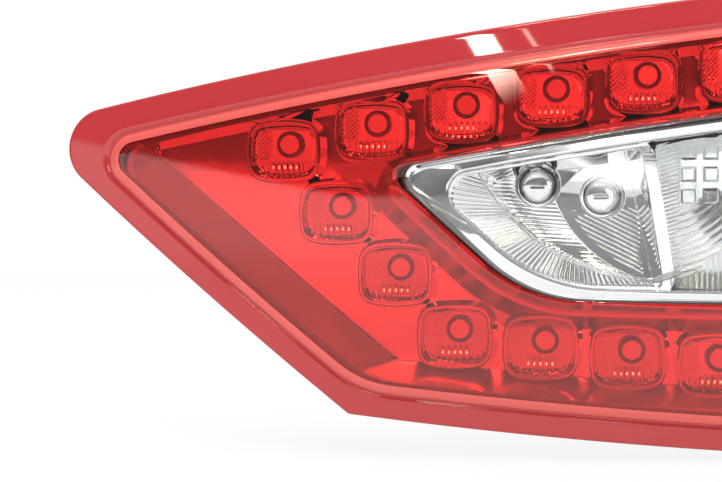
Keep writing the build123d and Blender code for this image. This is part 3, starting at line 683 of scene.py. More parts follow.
def finish(name, colour, rough, metal=0.0, clear=0.0, ior=1.49, grain=40.0, change=0.06, wave=0.0):
    """A finish whose colour and gloss drift softly over the surface, with an optional fine unevenness."""
    material = bpy.data.materials.new(f"{name}_finish")
    material.use_nodes = True
    nodes, links = material.node_tree.nodes, material.node_tree.links
    shader = nodes["Principled BSDF"]
    dial(shader, {"Metallic": metal, "Transmission Weight": clear, "IOR": ior})
    place = nodes.new("ShaderNodeTexCoord")
    cloud = nodes.new("ShaderNodeTexNoise")
    dial(cloud, {"Scale": grain, "Detail": CLOUD_DETAIL})
    links.new(place.outputs["Object"], cloud.inputs["Vector"])
    tone = nodes.new("ShaderNodeMix")
    tone.data_type = "RGBA"
    dark, pale = tone.inputs[6], tone.inputs[7]
    dark.default_value = [max(0.0, c * (1 - change)) for c in colour[:3]] + [1.0]
    pale.default_value = [min(1.0, c * (1 + change)) for c in colour[:3]] + [1.0]
    links.new(cloud.outputs["Fac"], tone.inputs[0])
    links.new(tone.outputs[2], shader.inputs["Base Color"])
    gloss = nodes.new("ShaderNodeMapRange")
    dial(gloss, {"To Min": rough * (1 - GLOSS_DRIFT), "To Max": rough * (1 + GLOSS_DRIFT)})
    links.new(cloud.outputs["Fac"], gloss.inputs["Value"])
    links.new(gloss.outputs["Result"], shader.inputs["Roughness"])
    if wave:
        bump = nodes.new("ShaderNodeBump")
        dial(bump, {"Strength": 1.0, "Distance": wave})
        links.new(cloud.outputs["Fac"], bump.inputs["Height"])
        links.new(bump.outputs["Normal"], shader.inputs["Normal"])
    return material


def inside_of(tree, outline, sides=(0, 1, 2, 3)):
    """Distance inside the nearest of an outline's straight sides, from Object coordinates, in metres."""
    place = tree.nodes.new("ShaderNodeTexCoord")
    nearest = None
    for side in sides:
        start, end = outline.corners[side], outline.corners[(side + 1) % 4]
        along = (end - start) / np.linalg.norm(end - start)
        reach = tree.nodes.new("ShaderNodeVectorMath")
        reach.operation = "DOT_PRODUCT"
        tree.links.new(place.outputs["Object"], reach.inputs[0])
        reach.inputs[1].default_value = (along[1], 0.0, -along[0])
        offset = float(start[0] * along[1] - start[1] * along[0]) * MM
        inside = work_out(tree, "SUBTRACT", reach.outputs["Value"], offset)
        nearest = inside if nearest is None else work_out(tree, "MINIMUM", nearest, inside)
    return nearest


def satin_bands(material, metal):
    """Satin and hazed beyond the field's right, bottom and left sides, and on the frame round the window."""
    tree = material.node_tree
    shader = tree.nodes["Principled BSDF"]
    gloss = shader.inputs["Roughness"]
    polished = gloss.links[0].from_socket
    from_field = inside_of(tree, FIELD, (1, 2, 3))
    from_frame = inside_of(tree, WINDOW_FRAME)
    outwards, inwards = (-SATIN_EDGE * MM, 0.0), (0.0, SATIN_EDGE * MM)
    border_gloss = fade(tree, from_field, outwards, metal.border, 0.0)
    frame_gloss = fade(tree, from_frame, inwards, 0.0, metal.frame)
    satin = work_out(tree, "MAXIMUM", border_gloss, frame_gloss)
    tree.links.new(work_out(tree, "MAXIMUM", satin, polished), gloss)
    border_metal = fade(tree, from_field, outwards, 1.0 - metal.border_haze, 1.0)
    frame_metal = fade(tree, from_frame, inwards, 1.0, 1.0 - metal.frame_haze)
    tree.links.new(work_out(tree, "MINIMUM", border_metal, frame_metal), shader.inputs["Metallic"])


def find_finish(name):
    """A finish made earlier by the finishes operator."""
    return bpy.data.materials[f"{name}_finish"]


class TAIL_OT_finishes(Operator):
    """Make every finish and put it on the solids by their slots"""

    bl_idname = "tail_light.finishes"
    bl_label = "Finishes"

    def execute(self, context):
        lens = context.scene.tail_lens
        optic = context.scene.tail_optic
        metal = context.scene.tail_finish
        finish("red_lens", lens.red, 0.012, clear=1.0, ior=LENS_IOR, grain=25.0, change=0.04)
        finish("red_rim", lens.rim, 0.03, clear=0.12, ior=LENS_IOR, grain=25.0, change=0.06)
        # Hazed pale red for the island's flank and for walls seen through the lens: partly plastic, partly
        # painted light (a painted highlight on the flank, painted light over the walls' shade)
        finish("red_flank_painted_light", lens.flank, 0.08, clear=0.2, ior=LENS_IOR, grain=25.0, change=0.05)
        finish("clear_lens", lens.clear, 0.01, clear=1.0, ior=LENS_IOR, grain=25.0, change=0.015)
        finish("clear_optic", optic.tint, 0.02, clear=1.0, grain=60.0, change=0.015)
        finish("plate_optic", optic.tint, 0.2, clear=1.0, grain=60.0, change=0.015)
        finish("optic_disc", metal.chrome, 0.22, metal=1.0, grain=200.0, change=0.04)
        finish("optic_facet", metal.chrome, 0.1, metal=1.0, grain=200.0, change=0.04)
        chrome = finish(
            "bright_chrome", metal.chrome, 0.05, metal=1.0, grain=30.0, change=0.03, wave=0.00008
        )
        satin_bands(chrome, metal)
        finish("reflector_metal", metal.chrome, 0.05, metal=1.0, grain=40.0, change=0.03)
        finish("dark_chrome", metal.smoked, 0.07, metal=1.0, grain=30.0, change=0.04)
        finish("housing_plastic", metal.housing, 0.5, grain=900.0, change=0.2, wave=0.00005)
        # Pale grey hazed ring round a plug's eye: painted shade for the dark gap round the eye
        finish("optic_ring_painted_shade", (0.6, 0.57, 0.57), 0.35, grain=200.0, change=0.15)
        finish("bulb_glass", (0.98, 0.98, 0.98), 0.01, clear=1.0, ior=1.5, grain=60.0, change=0.01)
        finish("board_laminate", (0.82, 0.82, 0.8), 0.4, grain=120.0, change=0.05)
        finish("led_phosphor", (0.86, 0.7, 0.22), 0.3, grain=300.0, change=0.08)
        finish("screw_steel", (0.6, 0.6, 0.62), 0.3, metal=1.0, grain=400.0, change=0.1)
        finish("stud_steel", (0.62, 0.61, 0.58), 0.28, metal=1.0, grain=300.0, change=0.1)
        finish("gasket_foam", (0.035, 0.035, 0.036), 0.9, grain=1200.0, change=0.35, wave=0.0002)
        finish("seal_rubber", (0.02, 0.02, 0.02), 0.6, grain=300.0, change=0.2)
        finish("terminal_brass", (0.78, 0.6, 0.3), 0.25, metal=1.0, grain=300.0, change=0.08)
        finish("filament_metal", (0.8, 0.79, 0.77), 0.25, metal=1.0, grain=500.0, change=0.1)
        finish("holder_plastic", (0.2, 0.2, 0.21), 0.45, grain=700.0, change=0.15, wave=0.00004)
        for part in frame["record"]["subparts"]:
            mesh = frame["nodes"][part["node"]].data
            mesh.materials.clear()
            mesh.materials.append(find_finish(part["material_slot"]))
        return {"FINISHED"}


class TAIL_OT_red_lens(Operator):
    """Red lens: rings of the outline carried from the joint over the rim, flank and island and back inside.

    Heights are the crown's sphere less a drop; the rim's edge and the flank are quarters of an ellipse,
    with a groove between them.
    """

    bl_idname = "tail_light.red_lens"
    bl_label = "Red lens"

    def execute(self, context):
        lens = context.scene.tail_lens
        top, low, dip = lens.flank_top / MM, lens.flank_low / MM, lens.groove / MM
        widths = np.array([top, low, low, low])
        rings = Rings()

        def trace(*margins, outline=ISLAND):
            return outline.inset(*margins).ring(*LENS_POINTS)

        rings.add(OUTER.ring(*LENS_POINTS), JOINT)
        for angle in np.linspace(0, np.pi / 2, LENS_ROWS["edge"]):
            inwards, down = RIM_ROUND * (1 - np.cos(angle)), RIM_ROUND * (1 - np.sin(angle))
            rings.sink(trace(inwards, outline=OUTER), RIM_DROP + down)
        for ring in blend_rows(rings.flat[-1], trace(-GROOVE_START), LENS_ROWS["rim"]):
            rings.sink(ring, RIM_DROP)
        for outside, share in GROOVE_STEPS:
            rings.sink(trace(-outside), RIM_DROP + dip * share)
        rim_end = len(rings.flat)
        for angle in np.linspace(0, np.pi / 2, LENS_ROWS["flank"]):
            rings.sink(trace(*(widths * (1 - np.cos(angle)))), RIM_DROP * (1 - np.sin(angle)))
        flank_end = len(rings.flat)
        window = WINDOW.ring(*LENS_POINTS)
        for ring in blend_rows(rings.flat[-1], window, LENS_ROWS["island"]):
            rings.sink(ring, 0)
        window_end = len(rings.flat)
        rings.sink(window, LENS_WALL / 2)
        rings.sink(window, LENS_WALL)
        for ring in blend_rows(window, trace(LENS_WALL + INNER_EASE), LENS_ROWS["inside"]):
            rings.sink(ring, LENS_WALL)
        inside_end = len(rings.flat)
        for angle in np.linspace(np.pi / 2, 0, LENS_ROWS["step"])[1:]:
            inwards, down = INNER_EASE * (1 - np.cos(angle)), RIM_DROP * (1 - np.sin(angle))
            rings.sink(trace(LENS_WALL + inwards), LENS_WALL + down)
        step_end = len(rings.flat)
        hollow = trace(LENS_WALL, outline=OUTER)
        for ring in blend_rows(rings.flat[-1], hollow, LENS_ROWS["back"]):
            rings.sink(ring, RIM_DROP + LENS_WALL)
        rings.add(hollow, JOINT)
        row = np.arange(len(rings.flat))
        on_rim = (row < rim_end - 1) | (row >= step_end)
        # Flank rows, the wall at the window and the inner step take the pale hazed red: a painted highlight
        # on the flank and painted light in place of the walls' dark lines
        on_flank_painted_light = (row >= rim_end - 1) & (row < flank_end - 1)
        on_flank_painted_light |= (row >= window_end - 1) & (row < window_end + 1)
        on_flank_painted_light |= (row >= inside_end - 1) & (row < step_end - 1)
        finishes = [find_finish(name) for name in ("red_lens", "red_rim", "red_flank_painted_light")]
        fit_piece(rings.piece("lens_red", finishes, on_rim + 2 * on_flank_painted_light), "red_outer_lens")
        return {"FINISHED"}


class TAIL_OT_window(Operator):
    """Clear window: its outline shrunk to a pole on two crowns, one a wall's thickness below the other"""

    bl_idname = "tail_light.window"
    bl_label = "Clear window"

    def execute(self, context):
        ring = WINDOW.inset(WINDOW_GAP).ring(*WINDOW_POINTS)
        middle = ring.mean(0)
        back = shrunk(ring, middle, np.linspace(WINDOW_POLE, 1.0, WINDOW_ROWS))
        front = back[::-1]
        flat = np.concatenate([back, front])
        height = np.concatenate([crown(back, LENS_WALL), crown(front, 0)])
        poles = placed(np.stack([middle, middle]), crown(middle, 0) - np.array([LENS_WALL, 0]))
        points = np.concatenate([placed(flat, height).reshape(-1, 3), poles])
        rows, columns = height.shape
        on_wall = np.repeat(np.arange(rows - 1) == WINDOW_ROWS - 1, columns)
        on_wall = np.concatenate([on_wall, np.zeros(2 * columns, bool)])
        # The window's cut wall takes the pale hazed red, painted light in place of its dark edge
        finishes = [find_finish("clear_lens"), find_finish("red_flank_painted_light")]
        piece = shape_mesh("window_clear", points, capped_faces(rows, columns), finishes, on_wall)
        fit_piece(piece, "clear_window")
        return {"FINISHED"}


def plug_front(optic):
    """Rings of a plug's front from the pocket's squircle to the round eye, with their heights.

    The height is a low leaning crown, plus ribs at the foot (the upper half of a cosine across), plus dots
    at the left (a cosine across times one upwards), less a moat; the disc in the moat leans the other way.
    The two numbers that follow are the rows where the moat and the disc begin.
    """
    radius, pupil, pitch = optic.eye / MM, optic.pupil / MM, optic.rib_pitch / MM
    wide, tall = POCKET_WIDE / 2, POCKET_TALL / 2
    corners = [(-wide, tall), (wide, tall), (wide, -tall), (-wide, -tall)]
    ring = Outline(corners, [POCKET_ROUND] * 4, POCKET_BOW).inset(PLUG_GAP).ring(*PLUG_POINTS)
    eye = np.array(EYE_PLACE)
    spoke = (ring - eye) / np.linalg.norm(ring - eye, axis=1, keepdims=True)
    moat_radii = [
        radius - MOAT_EDGE, radius - MOAT_WALL, (radius + pupil) / 2, pupil + MOAT_WALL, pupil + MOAT_EDGE,
    ]
    disc_radii = [pupil, pupil - DISC_EDGE, *(pupil * share for share in DISC_SHARES)]
    rows = [ring, *blend_rows(ring, eye + spoke * radius, PLUG_ROWS)]
    moat_row = len(rows) - 1
    disc_row = len(rows) + len(moat_radii)
    rows.extend(eye + spoke * reach for reach in moat_radii + disc_radii)
    flat = np.array(rows)
    x, z = flat[..., 0], flat[..., 1]
    from_eye = np.linalg.norm(flat - eye, axis=-1)
    from_edge = np.linalg.norm(flat - ring, axis=-1)
    crowned = smooth_step(0, PLUG_EASE, from_edge)
    relief = smooth_step(*RELIEF_BAND, from_edge)
    ribs = PLUG_RIB * np.maximum(np.cos(2 * np.pi * x / pitch), 0) * smooth_step(*FOOT_BAND, z)
    dots = DOT_TALL * np.maximum(np.cos(2 * np.pi * z / DOT_PITCH) * np.cos(2 * np.pi * x / DOT_PITCH), 0)
    dots = dots * smooth_step(*DOT_SIDE, x) * smooth_step(*DOT_FLOOR, z)
    lean = optic.lean * (z + tall / 2) * crowned
    moat = MOAT_DEPTH * smooth_step(radius, radius - MOAT_WALL, from_eye)
    body = OPTIC_FRONT + PLUG_CROWN * (crowned - 1) + (ribs + dots) * relief - lean - moat
    disc = OPTIC_FRONT + DISC_PROUD + optic.lean / 2 * (z - eye[1])
    return flat, np.where(from_eye < pupil + DISC_LAP, disc, body), moat_row, disc_row


class TAIL_OT_optics(Operator):
    """Clear plugs: rings from a flat back over the pocket's squircle to the round eye on the front.

    Flat facets at the foot glint: their slopes change with the pocket's place to mirror the same lamp.
    """

    bl_idname = "tail_light.optics"
    bl_label = "Pocket optics"

    def execute(self, context):
        optic = context.scene.tail_optic
        pitch = optic.rib_pitch / MM
        front, height, moat_row, disc_row = plug_front(optic)
        x, z = front[..., 0], front[..., 1]
        rib = pitch * np.round(x / pitch)
        beside, above = x - rib, z - FACET_PLACE
        on_facet = (np.abs(beside) < FACET_HALF[0]) & (np.abs(above) < FACET_HALF[1])
        on_facet &= np.abs(rib) < FACET_COUNT / 2 * pitch
        back = front[::-1][::REAR_STEP]
        flat = np.concatenate([back, front[:1], front])
        back_height = np.full(back.shape[:2], OPTIC_REAR + REAR_GAP)
        shoulder = np.full((1, front.shape[1]), OPTIC_FRONT - SHOULDER_DROP)
        rows, columns = flat.shape[:2]
        faces = capped_faces(rows, columns)
        first = len(back) + 1
        clear, ring, disc, glint = range(4)
        part = np.full((rows - 1, columns), clear)
        # The moat's faces take the grey ring finish, painted shade for the dark gap round the eye
        part[first + moat_row:] = ring
        part[first + disc_row:] = disc
        beside_too = on_facet & np.roll(on_facet, -1, 1)
        part[first:][beside_too[:-1] & beside_too[1:]] = glint
        part = np.concatenate([part.ravel(), np.full(columns, clear), np.full(columns, disc)])
        names = ("clear_optic", "optic_ring_painted_shade", "optic_disc", "optic_facet")
        finishes = [find_finish(name) for name in names]
        eyes, eye_heights = np.array([EYE_PLACE, EYE_PLACE]), np.array([back_height[0, 0], height[-1, 0]])
        for number, place in enumerate(pocket_places(), 1):
            across, upwards = np.polyval(FACET_ACROSS, place[0]), np.polyval(FACET_UPWARDS, place[1])
            facet = OPTIC_FRONT - FACET_DROP + across * beside + upwards * above
            heights = np.concatenate([back_height, shoulder, np.where(on_facet, facet, height)])
            points = placed(flat + place, heights).reshape(-1, 3)
            points = np.concatenate([points, placed(eyes + place, eye_heights)])
            piece = shape_mesh(f"optic_plug_{number:02d}", points, faces, finishes, part)
            piece.data.polygons.foreach_set("use_smooth", part != glint)
            fit_piece(piece, f"led_optic_{number:02d}")
        return {"FINISHED"}


def bowed_line(flat, start, end, bow):
    """Distance of flat points beyond a line bowed down to the left, and their share of the way along it."""
    start, end = np.array(start), np.array(end)
    share = (flat - start) @ (end - start) / ((end - start) @ (end - start))
    return 4 * bow * share * (1 - share) - inside_side(flat, start, end), np.clip(share, 0, 1)


def bowl_floor(flat, ribbed, chamber):
    """Heights of the turn signal bowl, with ribs on the wall where a column is ribbed.

    The wall falls gently from the mouth and steps down into a valley. A fluted facet climbs to a crest, its
    height shared out by the distances to both lines. Behind the crest a smooth facet falls away, with
    slanted ribs, the upper half of a cosine to a power. Steep walls close the top and the right, and the
    bulb holes go through.
    """
    rib, flute, fan = chamber.rib_pitch / MM, chamber.flute_pitch / MM, chamber.fan_pitch / MM
    ring = flat[0]
    x, z = flat[..., 0], flat[..., 1]
    edge = np.linalg.norm(flat - ring, axis=-1)
    run = np.cumsum(np.linalg.norm(ring - np.roll(ring, 1, 0), axis=1))
    over_valley, down_valley = bowed_line(flat, *VALLEY_LINE)
    over_crest, down_crest = bowed_line(flat, *CREST_LINE)
    valley = VALLEY_HEIGHT[0] + VALLEY_HEIGHT[1] * down_valley
    crest = CREST_HEIGHT[0] + CREST_HEIGHT[1] * down_crest
    low, far = np.abs(over_valley) + ON_LINE, np.abs(over_crest) + ON_LINE
    ribs = ridges(run, WALL_RIB, rib) * ribbed * smooth_step(*WALL_RIB_BAND, edge)
    brow = MOUTH_HEIGHT - BROW_DROP - BROW_SLOPE * edge + ribs
    wall = valley + (brow - valley) * smooth_step(0, WALL_STEP, low)
    flutes = ridges(z + FLUTE_TILT * x, FLUTE_TALL, flute)
    facet = (valley * far + crest * low) / (low + far)
    facet = facet + flutes * smooth_step(0, FLUTE_EASE, low) * smooth_step(0, FLUTE_EASE, far)
    slanted = np.maximum(np.cos(2 * np.pi * (FAN_TURN[0] * x + FAN_TURN[1] * z) / fan), 0) ** FAN_SHARP
    fanned = smooth_step(*FAN_START, far) * smooth_step(*FAN_RIGHT, x)
    fanned = fanned * smooth_step(*FAN_TOP, z - FAN_TOP_SLOPE * (x - FAN_TOP_X))
    smooth = crest - SMOOTH_SLOPE * far + FAN_TALL * fanned * slanted
    height = np.where(over_valley < 0, wall, np.where(over_crest < 0, facet, smooth))
    tip, top, foot = TURN.corners[:3]
    for start, end in ((tip, top), (top, foot)):
        height = np.maximum(height, MOUTH_HEIGHT - STEEP * inside_side(flat, start, end))
    for name in ("turn_1", "turn_2"):
        from_axis = np.linalg.norm(flat - np.array(BULBS[name]), axis=-1)
        height = height + (BOWL_BACK - height) * smooth_step(*BULB_HOLE, from_axis)
    return np.minimum(height, MOUTH_HEIGHT)


class TAIL_OT_turn_bowl(Operator):
    """Turn signal bowl: the outline shrunk to a pole over the bowl's floor, with a skin outside its mouth.

    The skin is raised along the right side, where it is the divider between the two lamps.
    """

    bl_idname = "tail_light.turn_bowl"
    bl_label = "Turn signal bowl"

    def execute(self, context):
        ring = TURN.ring(BOWL_SIDES, BOWL_BENDS)
        column = np.arange(len(ring))
        right = BOWL_BENDS[0] + BOWL_SIDES[0] + BOWL_BENDS[1]
        bottom = right + BOWL_SIDES[1] + BOWL_BENDS[2]
        ribbed = (column >= bottom) | (column < BOWL_BENDS[0])
        middle = np.array(BOWL_MIDDLE)
        flat = shrunk(ring, middle, np.linspace(1.0, POLE_SHARE, BOWL_ROWS))
        height = bowl_floor(flat, ribbed, context.scene.tail_chamber)
        height[0] = MOUTH_HEIGHT
        along, end = column - right, BOWL_SIDES[1]
        raised = smooth_step(0, DIVIDER_EASE, along) * smooth_step(end, end - DIVIDER_EASE, along)
        raised = MOUTH_HEIGHT + DIVIDER_RISE * raised
        skins = [TURN.inset(-lap, -wide, -lap, -lap).ring(BOWL_SIDES, BOWL_BENDS) for lap, wide in BOWL_SKIN]
        flat = np.concatenate([np.array(skins), flat])
        height = np.concatenate([np.tile(raised, (len(skins), 1)), height])
        rows, columns = height.shape
        points = np.concatenate([placed(flat, height).reshape(-1, 3), placed(middle[None], height[-1:, 0])])
        faces = [grid_faces(rows, columns), fan_faces((rows - 1) * columns, columns, rows * columns, True)]
        piece = shape_mesh("bowl_turn", points, faces, [find_finish("reflector_metal")])
        fit_piece(piece, "turn_reflector")
        return {"FINISHED"}


class TAIL_OT_window_mask(Operator):
    """Window mask: a flange under the window's edge, rounded over into a wall down to the mouth.

    The flange lies a depth below the crown and falls by a slope times the distance from its edge.
    """

    bl_idname = "tail_light.window_mask"
    bl_label = "Window mask"

    def execute(self, context):
        lean = context.scene.tail_finish.mask_lean
        rim = WINDOW.inset(*MASK_MARGINS)
        edge = rim.ring(*MASK_POINTS)
        brow = MOUTH.inset(-MASK_ROUND).ring(*MASK_POINTS)
        mouth = MOUTH.ring(*MASK_POINTS)
        foot = MOUTH.inset(-MASK_LAP).ring(*MASK_POINTS)
        rings = Rings()
        rings.add(foot, MOUTH_HEIGHT)
        rings.add(foot, MOUTH_HEIGHT + MASK_EASE)
        rings.add(edge, crown(edge, MASK_DEPTH) - 2 * MASK_EASE)
        rings.add(edge, crown(edge, MASK_DEPTH) - MASK_EASE)
        inwards = (brow - edge) / np.linalg.norm(brow - edge, axis=1, keepdims=True)
        slope = lean * (LEAN_SIDES + LEAN_DOWN * np.maximum(-inwards[:, 1], 0))
        for ring in blend_rows(rim.inset(MASK_EASE).ring(*MASK_POINTS), brow, MASK_ROWS):
            x, z = ring[:, 0], ring[:, 1]
            over_line = np.maximum(z + POINT_LINE[0] * x + POINT_LINE[1], 0)
            point = POINT_FALL * over_line * smooth_step(*POINT_BAND, x)
            rings.add(ring, crown(ring, MASK_DEPTH) - slope * np.linalg.norm(ring - edge, axis=1) - point)
        crest = rings.heights[-1]
        for angle in np.linspace(0, np.pi / 2, MASK_ROUND_ROWS)[1:]:
            rings.add(brow + (mouth - brow) * np.sin(angle), crest - MASK_ROUND * (1 - np.cos(angle)))
        rings.add(mouth, MOUTH_HEIGHT + MASK_EASE)
        rings.add(mouth, MOUTH_HEIGHT)
        fit_piece(rings.piece("mask_window", [find_finish("dark_chrome")]), "window_bezel")
        return {"FINISHED"}


class TAIL_OT_reverse_plate(Operator):
    """Patterned plate of the reversing lamp: its outline shrunk to a pole, front and back.

    The front is raised by blocks, a step of the lesser of two cosines, and by arcs round a point, flutes
    below a slanted line and bars at the left, each the size of a sine.
    """

    bl_idname = "tail_light.reverse_plate"
    bl_label = "Patterned plate"

    def execute(self, context):
        ring = REVERSE.inset(-PLATE_LAP).ring(*PLATE_POINTS)
        middle = ring.mean(0)
        front = shrunk(ring, middle, np.linspace(1.0, POLE_SHARE, PLATE_ROWS))
        x, z = front[..., 0], front[..., 1]
        inside = smooth_step(*PLATE_EDGE, np.linalg.norm(front - ring, axis=-1))
        lower = smooth_step(*FLUTE_BAND, z - (FLUTE_LINE[1] + FLUTE_LINE[2] * (x - FLUTE_LINE[0])))
        upper = smooth_step(*BLOCK_START, z - BLOCK_LINE[1] * (x - BLOCK_LINE[0]))
        block_tall, block_pitch = BLOCKS
        tile = np.cos(2 * np.pi * (front - np.array(BLOCK_PLACE)) / block_pitch).min(-1)
        blocks = block_tall * smooth_step(*BLOCK_BAND, tile)
        arcs = ridges(np.linalg.norm(front - np.array(ARC_MIDDLE), axis=-1), *ARCS)
        bars = ridges(z - BAR_TILT * x, *BARS)
        pattern = np.where(x < BAR_RIGHT, bars, blocks * upper + arcs * (1 - upper))
        pattern = pattern * (1 - lower) + ridges(x, *FLUTES) * lower
        front_height = MOUTH_HEIGHT + inside * pattern
        back = front[::PLATE_REAR_STEP][::-1]
        flat = np.concatenate([back, front])
        height = np.concatenate([np.full(back.shape[:2], PLATE_REAR), front_height])
        poles = placed(np.stack([middle, middle]), height[[0, -1], 0])
        points = np.concatenate([placed(flat, height).reshape(-1, 3), poles])
        finishes = [find_finish("plate_optic")]
        piece = shape_mesh("plate_reverse", points, capped_faces(*height.shape), finishes)
        fit_piece(piece, "reverse_optic")
        return {"FINISHED"}


class TAIL_OT_bulbs(Operator):
    """Bulb glasses: a thin wall turned round the bulb's axis, a barrel closed by half a sphere"""

    bl_idname = "tail_light.bulbs"
    bl_label = "Bulb glasses"

    def execute(self, context):
        chamber = context.scene.tail_chamber
        radius, count = chamber.bulb_radius / MM, chamber.segments
        inner, dome = radius - BULB_WALL, BULB_TOP - radius
        bend = np.linspace(0, np.pi / 2, BULB_DOME_ROWS, endpoint=False)
        outside = (
            np.concatenate([[BULB_POLE, radius], radius * np.cos(bend), [BULB_POLE]]),
            np.concatenate([[BULB_FOOT, BULB_FOOT], dome + radius * np.sin(bend), [BULB_TOP]]),
        )
        down = bend[::-1]
        inside = (
            np.concatenate([[BULB_POLE], inner * np.cos(down), [inner, BULB_POLE]]),
            np.concatenate([[BULB_TOP - BULB_WALL], dome + inner * np.sin(down), [BULB_FLOOR, BULB_FLOOR]]),
        )
        angle = -2 * np.pi * np.arange(count) / count
        turn = np.stack([np.cos(angle), np.sin(angle)], 1)
        for name, place in BULBS.items():
            points, faces, first = [], [], 0
            for reach, height in (outside, inside):
                flat = np.array(place) + reach[:, None, None] * turn
                points.append(placed(flat, height[:, None]).reshape(-1, 3))
                points.append(placed(np.array([place, place]), height[[0, -1]]))
                faces.extend(capped_faces(len(reach), count, first))
                first += len(reach) * count + 2
            piece = shape_mesh(f"glass_{name}", np.concatenate(points), faces, [find_finish("bulb_glass")])
            fit_piece(piece, f"{name}_bulb_glass")
        return {"FINISHED"}


def surround(world, stage):
    """White to the camera and one even level to dull surfaces.

    Mirrors and clear parts see white behind the lamp, a bright field low in front of it, a dim wall
    over that and a half-bright ceiling. The field's edge is level, and climbs to the left.
    """
    world.use_nodes = True
    tree = world.node_tree
    path = tree.nodes.new("ShaderNodeLightPath").outputs
    x, y, z = coordinates(tree, "Generated")
    edge = work_out(tree, "MAXIMUM", work_out(tree, "MULTIPLY", x, FIELD_EDGE_SLOPE), FIELD_EDGE_LEVEL)
    under = fade(tree, work_out(tree, "SUBTRACT", z, edge), (-FIELD_EDGE_SOFT, FIELD_EDGE_SOFT), 1.0, 0.0)
    field = work_out(tree, "MULTIPLY", under, fade(tree, y, FIELD_BAND, 1.0, 0.0))
    high = fade(tree, z, CEILING_BAND, stage.front_level, stage.ceiling_level)
    lift = work_out(tree, "MULTIPLY", field, work_out(tree, "SUBTRACT", stage.field_level, high))
    front = work_out(tree, "ADD", high, lift)
    around = mixed(tree, fade(tree, y, BEHIND_BAND, 0.0, 1.0), front, 1.0)
    mirrored = work_out(tree, "MAXIMUM", path["Is Glossy Ray"], path["Is Transmission Ray"])
    unseen = mixed(tree, mirrored, stage.room_level, around)
    back = tree.nodes["Background"]
    back.inputs["Color"].default_value = (1.0, 1.0, 1.0, 1.0)
    tree.links.new(mixed(tree, path["Is Camera Ray"], unseen, 1.0), back.inputs["Strength"])


def floor_finish(stage):
    """A pale floor, mostly plain white where it is seen, brighter ahead in mirrors and clear parts."""
    material = bpy.data.materials.new("floor")
    material.use_nodes = True
    tree = material.node_tree
    shader = tree.nodes["Principled BSDF"]
    dial(shader, {"Base Color": FLOOR_COLOUR, "Roughness": FLOOR_ROUGH})
    path = tree.nodes.new("ShaderNodeLightPath").outputs
    y = coordinates(tree, "Object")["Y"]
    ahead = fade(tree, y, FLOOR_BAND, stage.field_level - stage.floor_level, 0.0)
    lift = work_out(tree, "MULTIPLY", ahead, work_out(tree, "SUBTRACT", 1.0, path["Is Camera Ray"]))
    white = tree.nodes.new("ShaderNodeEmission")
    tree.links.new(work_out(tree, "ADD", lift, stage.floor_level), white.inputs["Strength"])
    shown = path["Is Camera Ray"]
    for ray in ("Is Glossy Ray", "Is Transmission Ray"):
        shown = work_out(tree, "MAXIMUM", shown, path[ray])
    mix = tree.nodes.new("ShaderNodeMixShader")
    tree.links.new(work_out(tree, "MULTIPLY", shown, stage.floor_white), mix.inputs["Fac"])
    tree.links.new(shader.outputs[0], mix.inputs[1])
    tree.links.new(white.outputs[0], mix.inputs[2])
    tree.links.new(mix.outputs[0], tree.nodes["Material Output"].inputs["Surface"])
    return material


def lay_floor(stage):
    """A flat square sheet below the lamp."""
    drop = CAD_BOX[0][2] - stage.floor_gap
    sides = ((-1, -1), (1, -1), (1, 1), (-1, 1))
    mesh = bpy.data.meshes.new("floor")
    mesh.from_pydata([(x * FLOOR_HALF, y * FLOOR_HALF, drop) for x, y in sides], [], [(0, 1, 2, 3)])
    mesh.materials.append(floor_finish(stage))
    floor = bpy.data.objects.new("floor", mesh)
    bpy.context.scene.collection.objects.link(floor)


def feather(lamp, side, tail):
    """Glow that fades to the sides and the high end over one share, and to the low end over another."""
    lamp.use_nodes = True
    tree = lamp.node_tree
    u, v = coordinates(tree, "Parametric", "ShaderNodeNewGeometry")[:2]
    away = work_out(tree, "ABSOLUTE", work_out(tree, "SUBTRACT", u, 0.5))
    across = fade(tree, away, (0.5 - side, 0.5), 1.0, 0.0)
    low_end = fade(tree, v, (0.0, tail), 0.0, 1.0)
    high_end = fade(tree, v, (1.0 - side, 1.0), 1.0, 0.0)
    glow = work_out(tree, "MULTIPLY", across, work_out(tree, "MULTIPLY", low_end, high_end))
    tree.links.new(glow, tree.nodes["Emission"].inputs["Strength"])


def soft_light(name, place, size, glow, tint=(1.0, 1.0, 1.0), lean=0.0, aim=None, edges=None):
    """A rectangular studio lamp that points at a place, or straight back.

    The lean turns it in its own plane, and the edges are the shares over which its glow falls off.
    """
    lamp = bpy.data.lights.new(name, "AREA")
    lamp.shape = "RECTANGLE"
    lamp.size, lamp.size_y = size
    lamp.color = tint
    lamp.energy = glow * np.pi * size[0] * size[1]
    if edges:
        feather(lamp, *edges)
    holder = bpy.data.objects.new(name, lamp)
    holder.location = place
    target = Vector(aim or (place[0], 0.0, place[2]))
    turn = (target - Vector(place)).to_track_quat("-Z", "Y")
    holder.rotation_euler = (turn @ Quaternion((0, 0, 1), lean)).to_euler()
    bpy.context.scene.collection.objects.link(holder)


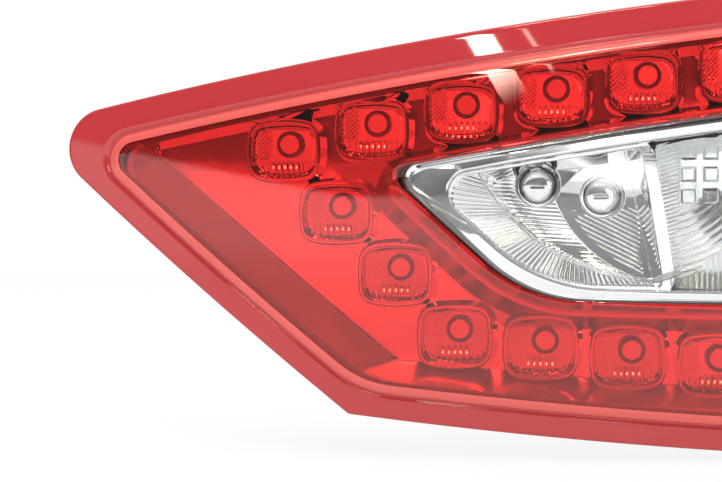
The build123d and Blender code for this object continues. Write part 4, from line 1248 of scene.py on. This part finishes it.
class TAIL_OT_stage(Operator):
    """Camera, pale floor, white surround and soft lamps"""

    bl_idname = "tail_light.stage"
    bl_label = "Studio"

    def execute(self, context):
        scene = context.scene
        stage = scene.tail_stage
        scene.view_settings.view_transform = "Standard"
        lens = bpy.data.cameras.new("camera")
        lens.lens, lens.sensor_width = stage.lens, SENSOR_WIDTH
        camera = bpy.data.objects.new("camera", lens)
        camera.location = stage.camera
        look = Vector(stage.aim) - Vector(stage.camera)
        camera.rotation_euler = look.to_track_quat("-Z", "Y").to_euler()
        scene.collection.objects.link(camera)
        scene.camera = camera
        scene.world = bpy.data.worlds.new("surround")
        surround(scene.world, stage)
        lay_floor(stage)
        for name, lamp in LAMPS.items():
            soft_light(name, **lamp)
        return {"FINISHED"}


class TAIL_PT_panel(Panel):
    """Steps that dress the lamp, in order"""

    bl_label = "Tail Light Cluster"
    bl_idname = "TAIL_PT_panel"
    bl_space_type = "VIEW_3D"
    bl_region_type = "UI"
    bl_category = "Tail Light"

    def draw(self, context):
        column = self.layout.column()
        for step in STEPS:
            column.operator(step.bl_idname)


SETTINGS = {
    "tail_lens": LensSettings,
    "tail_optic": OpticSettings,
    "tail_chamber": ChamberSettings,
    "tail_finish": FinishSettings,
    "tail_stage": StageSettings,
}
STEPS = [
    TAIL_OT_finishes,
    TAIL_OT_red_lens,
    TAIL_OT_window,
    TAIL_OT_optics,
    TAIL_OT_window_mask,
    TAIL_OT_turn_bowl,
    TAIL_OT_reverse_plate,
    TAIL_OT_bulbs,
    TAIL_OT_stage,
]


def register():
    for group in SETTINGS.values():
        bpy.utils.register_class(group)
    for step in STEPS:
        bpy.utils.register_class(step)
    bpy.utils.register_class(TAIL_PT_panel)
    for name, group in SETTINGS.items():
        setattr(bpy.types.Scene, name, PointerProperty(type=group))


def unregister():
    for name in SETTINGS:
        delattr(bpy.types.Scene, name)
    bpy.utils.unregister_class(TAIL_PT_panel)
    for step in reversed(STEPS):
        bpy.utils.unregister_class(step)
    for group in reversed(list(SETTINGS.values())):
        bpy.utils.unregister_class(group)


def main():
    register()
    bpy.ops.tail_light.finishes()
    bpy.ops.tail_light.red_lens()
    bpy.ops.tail_light.window()
    bpy.ops.tail_light.optics()
    bpy.ops.tail_light.window_mask()
    bpy.ops.tail_light.turn_bowl()
    bpy.ops.tail_light.reverse_plate()
    bpy.ops.tail_light.bulbs()
    bpy.ops.tail_light.stage()


if __name__ == "__main__":
    main()
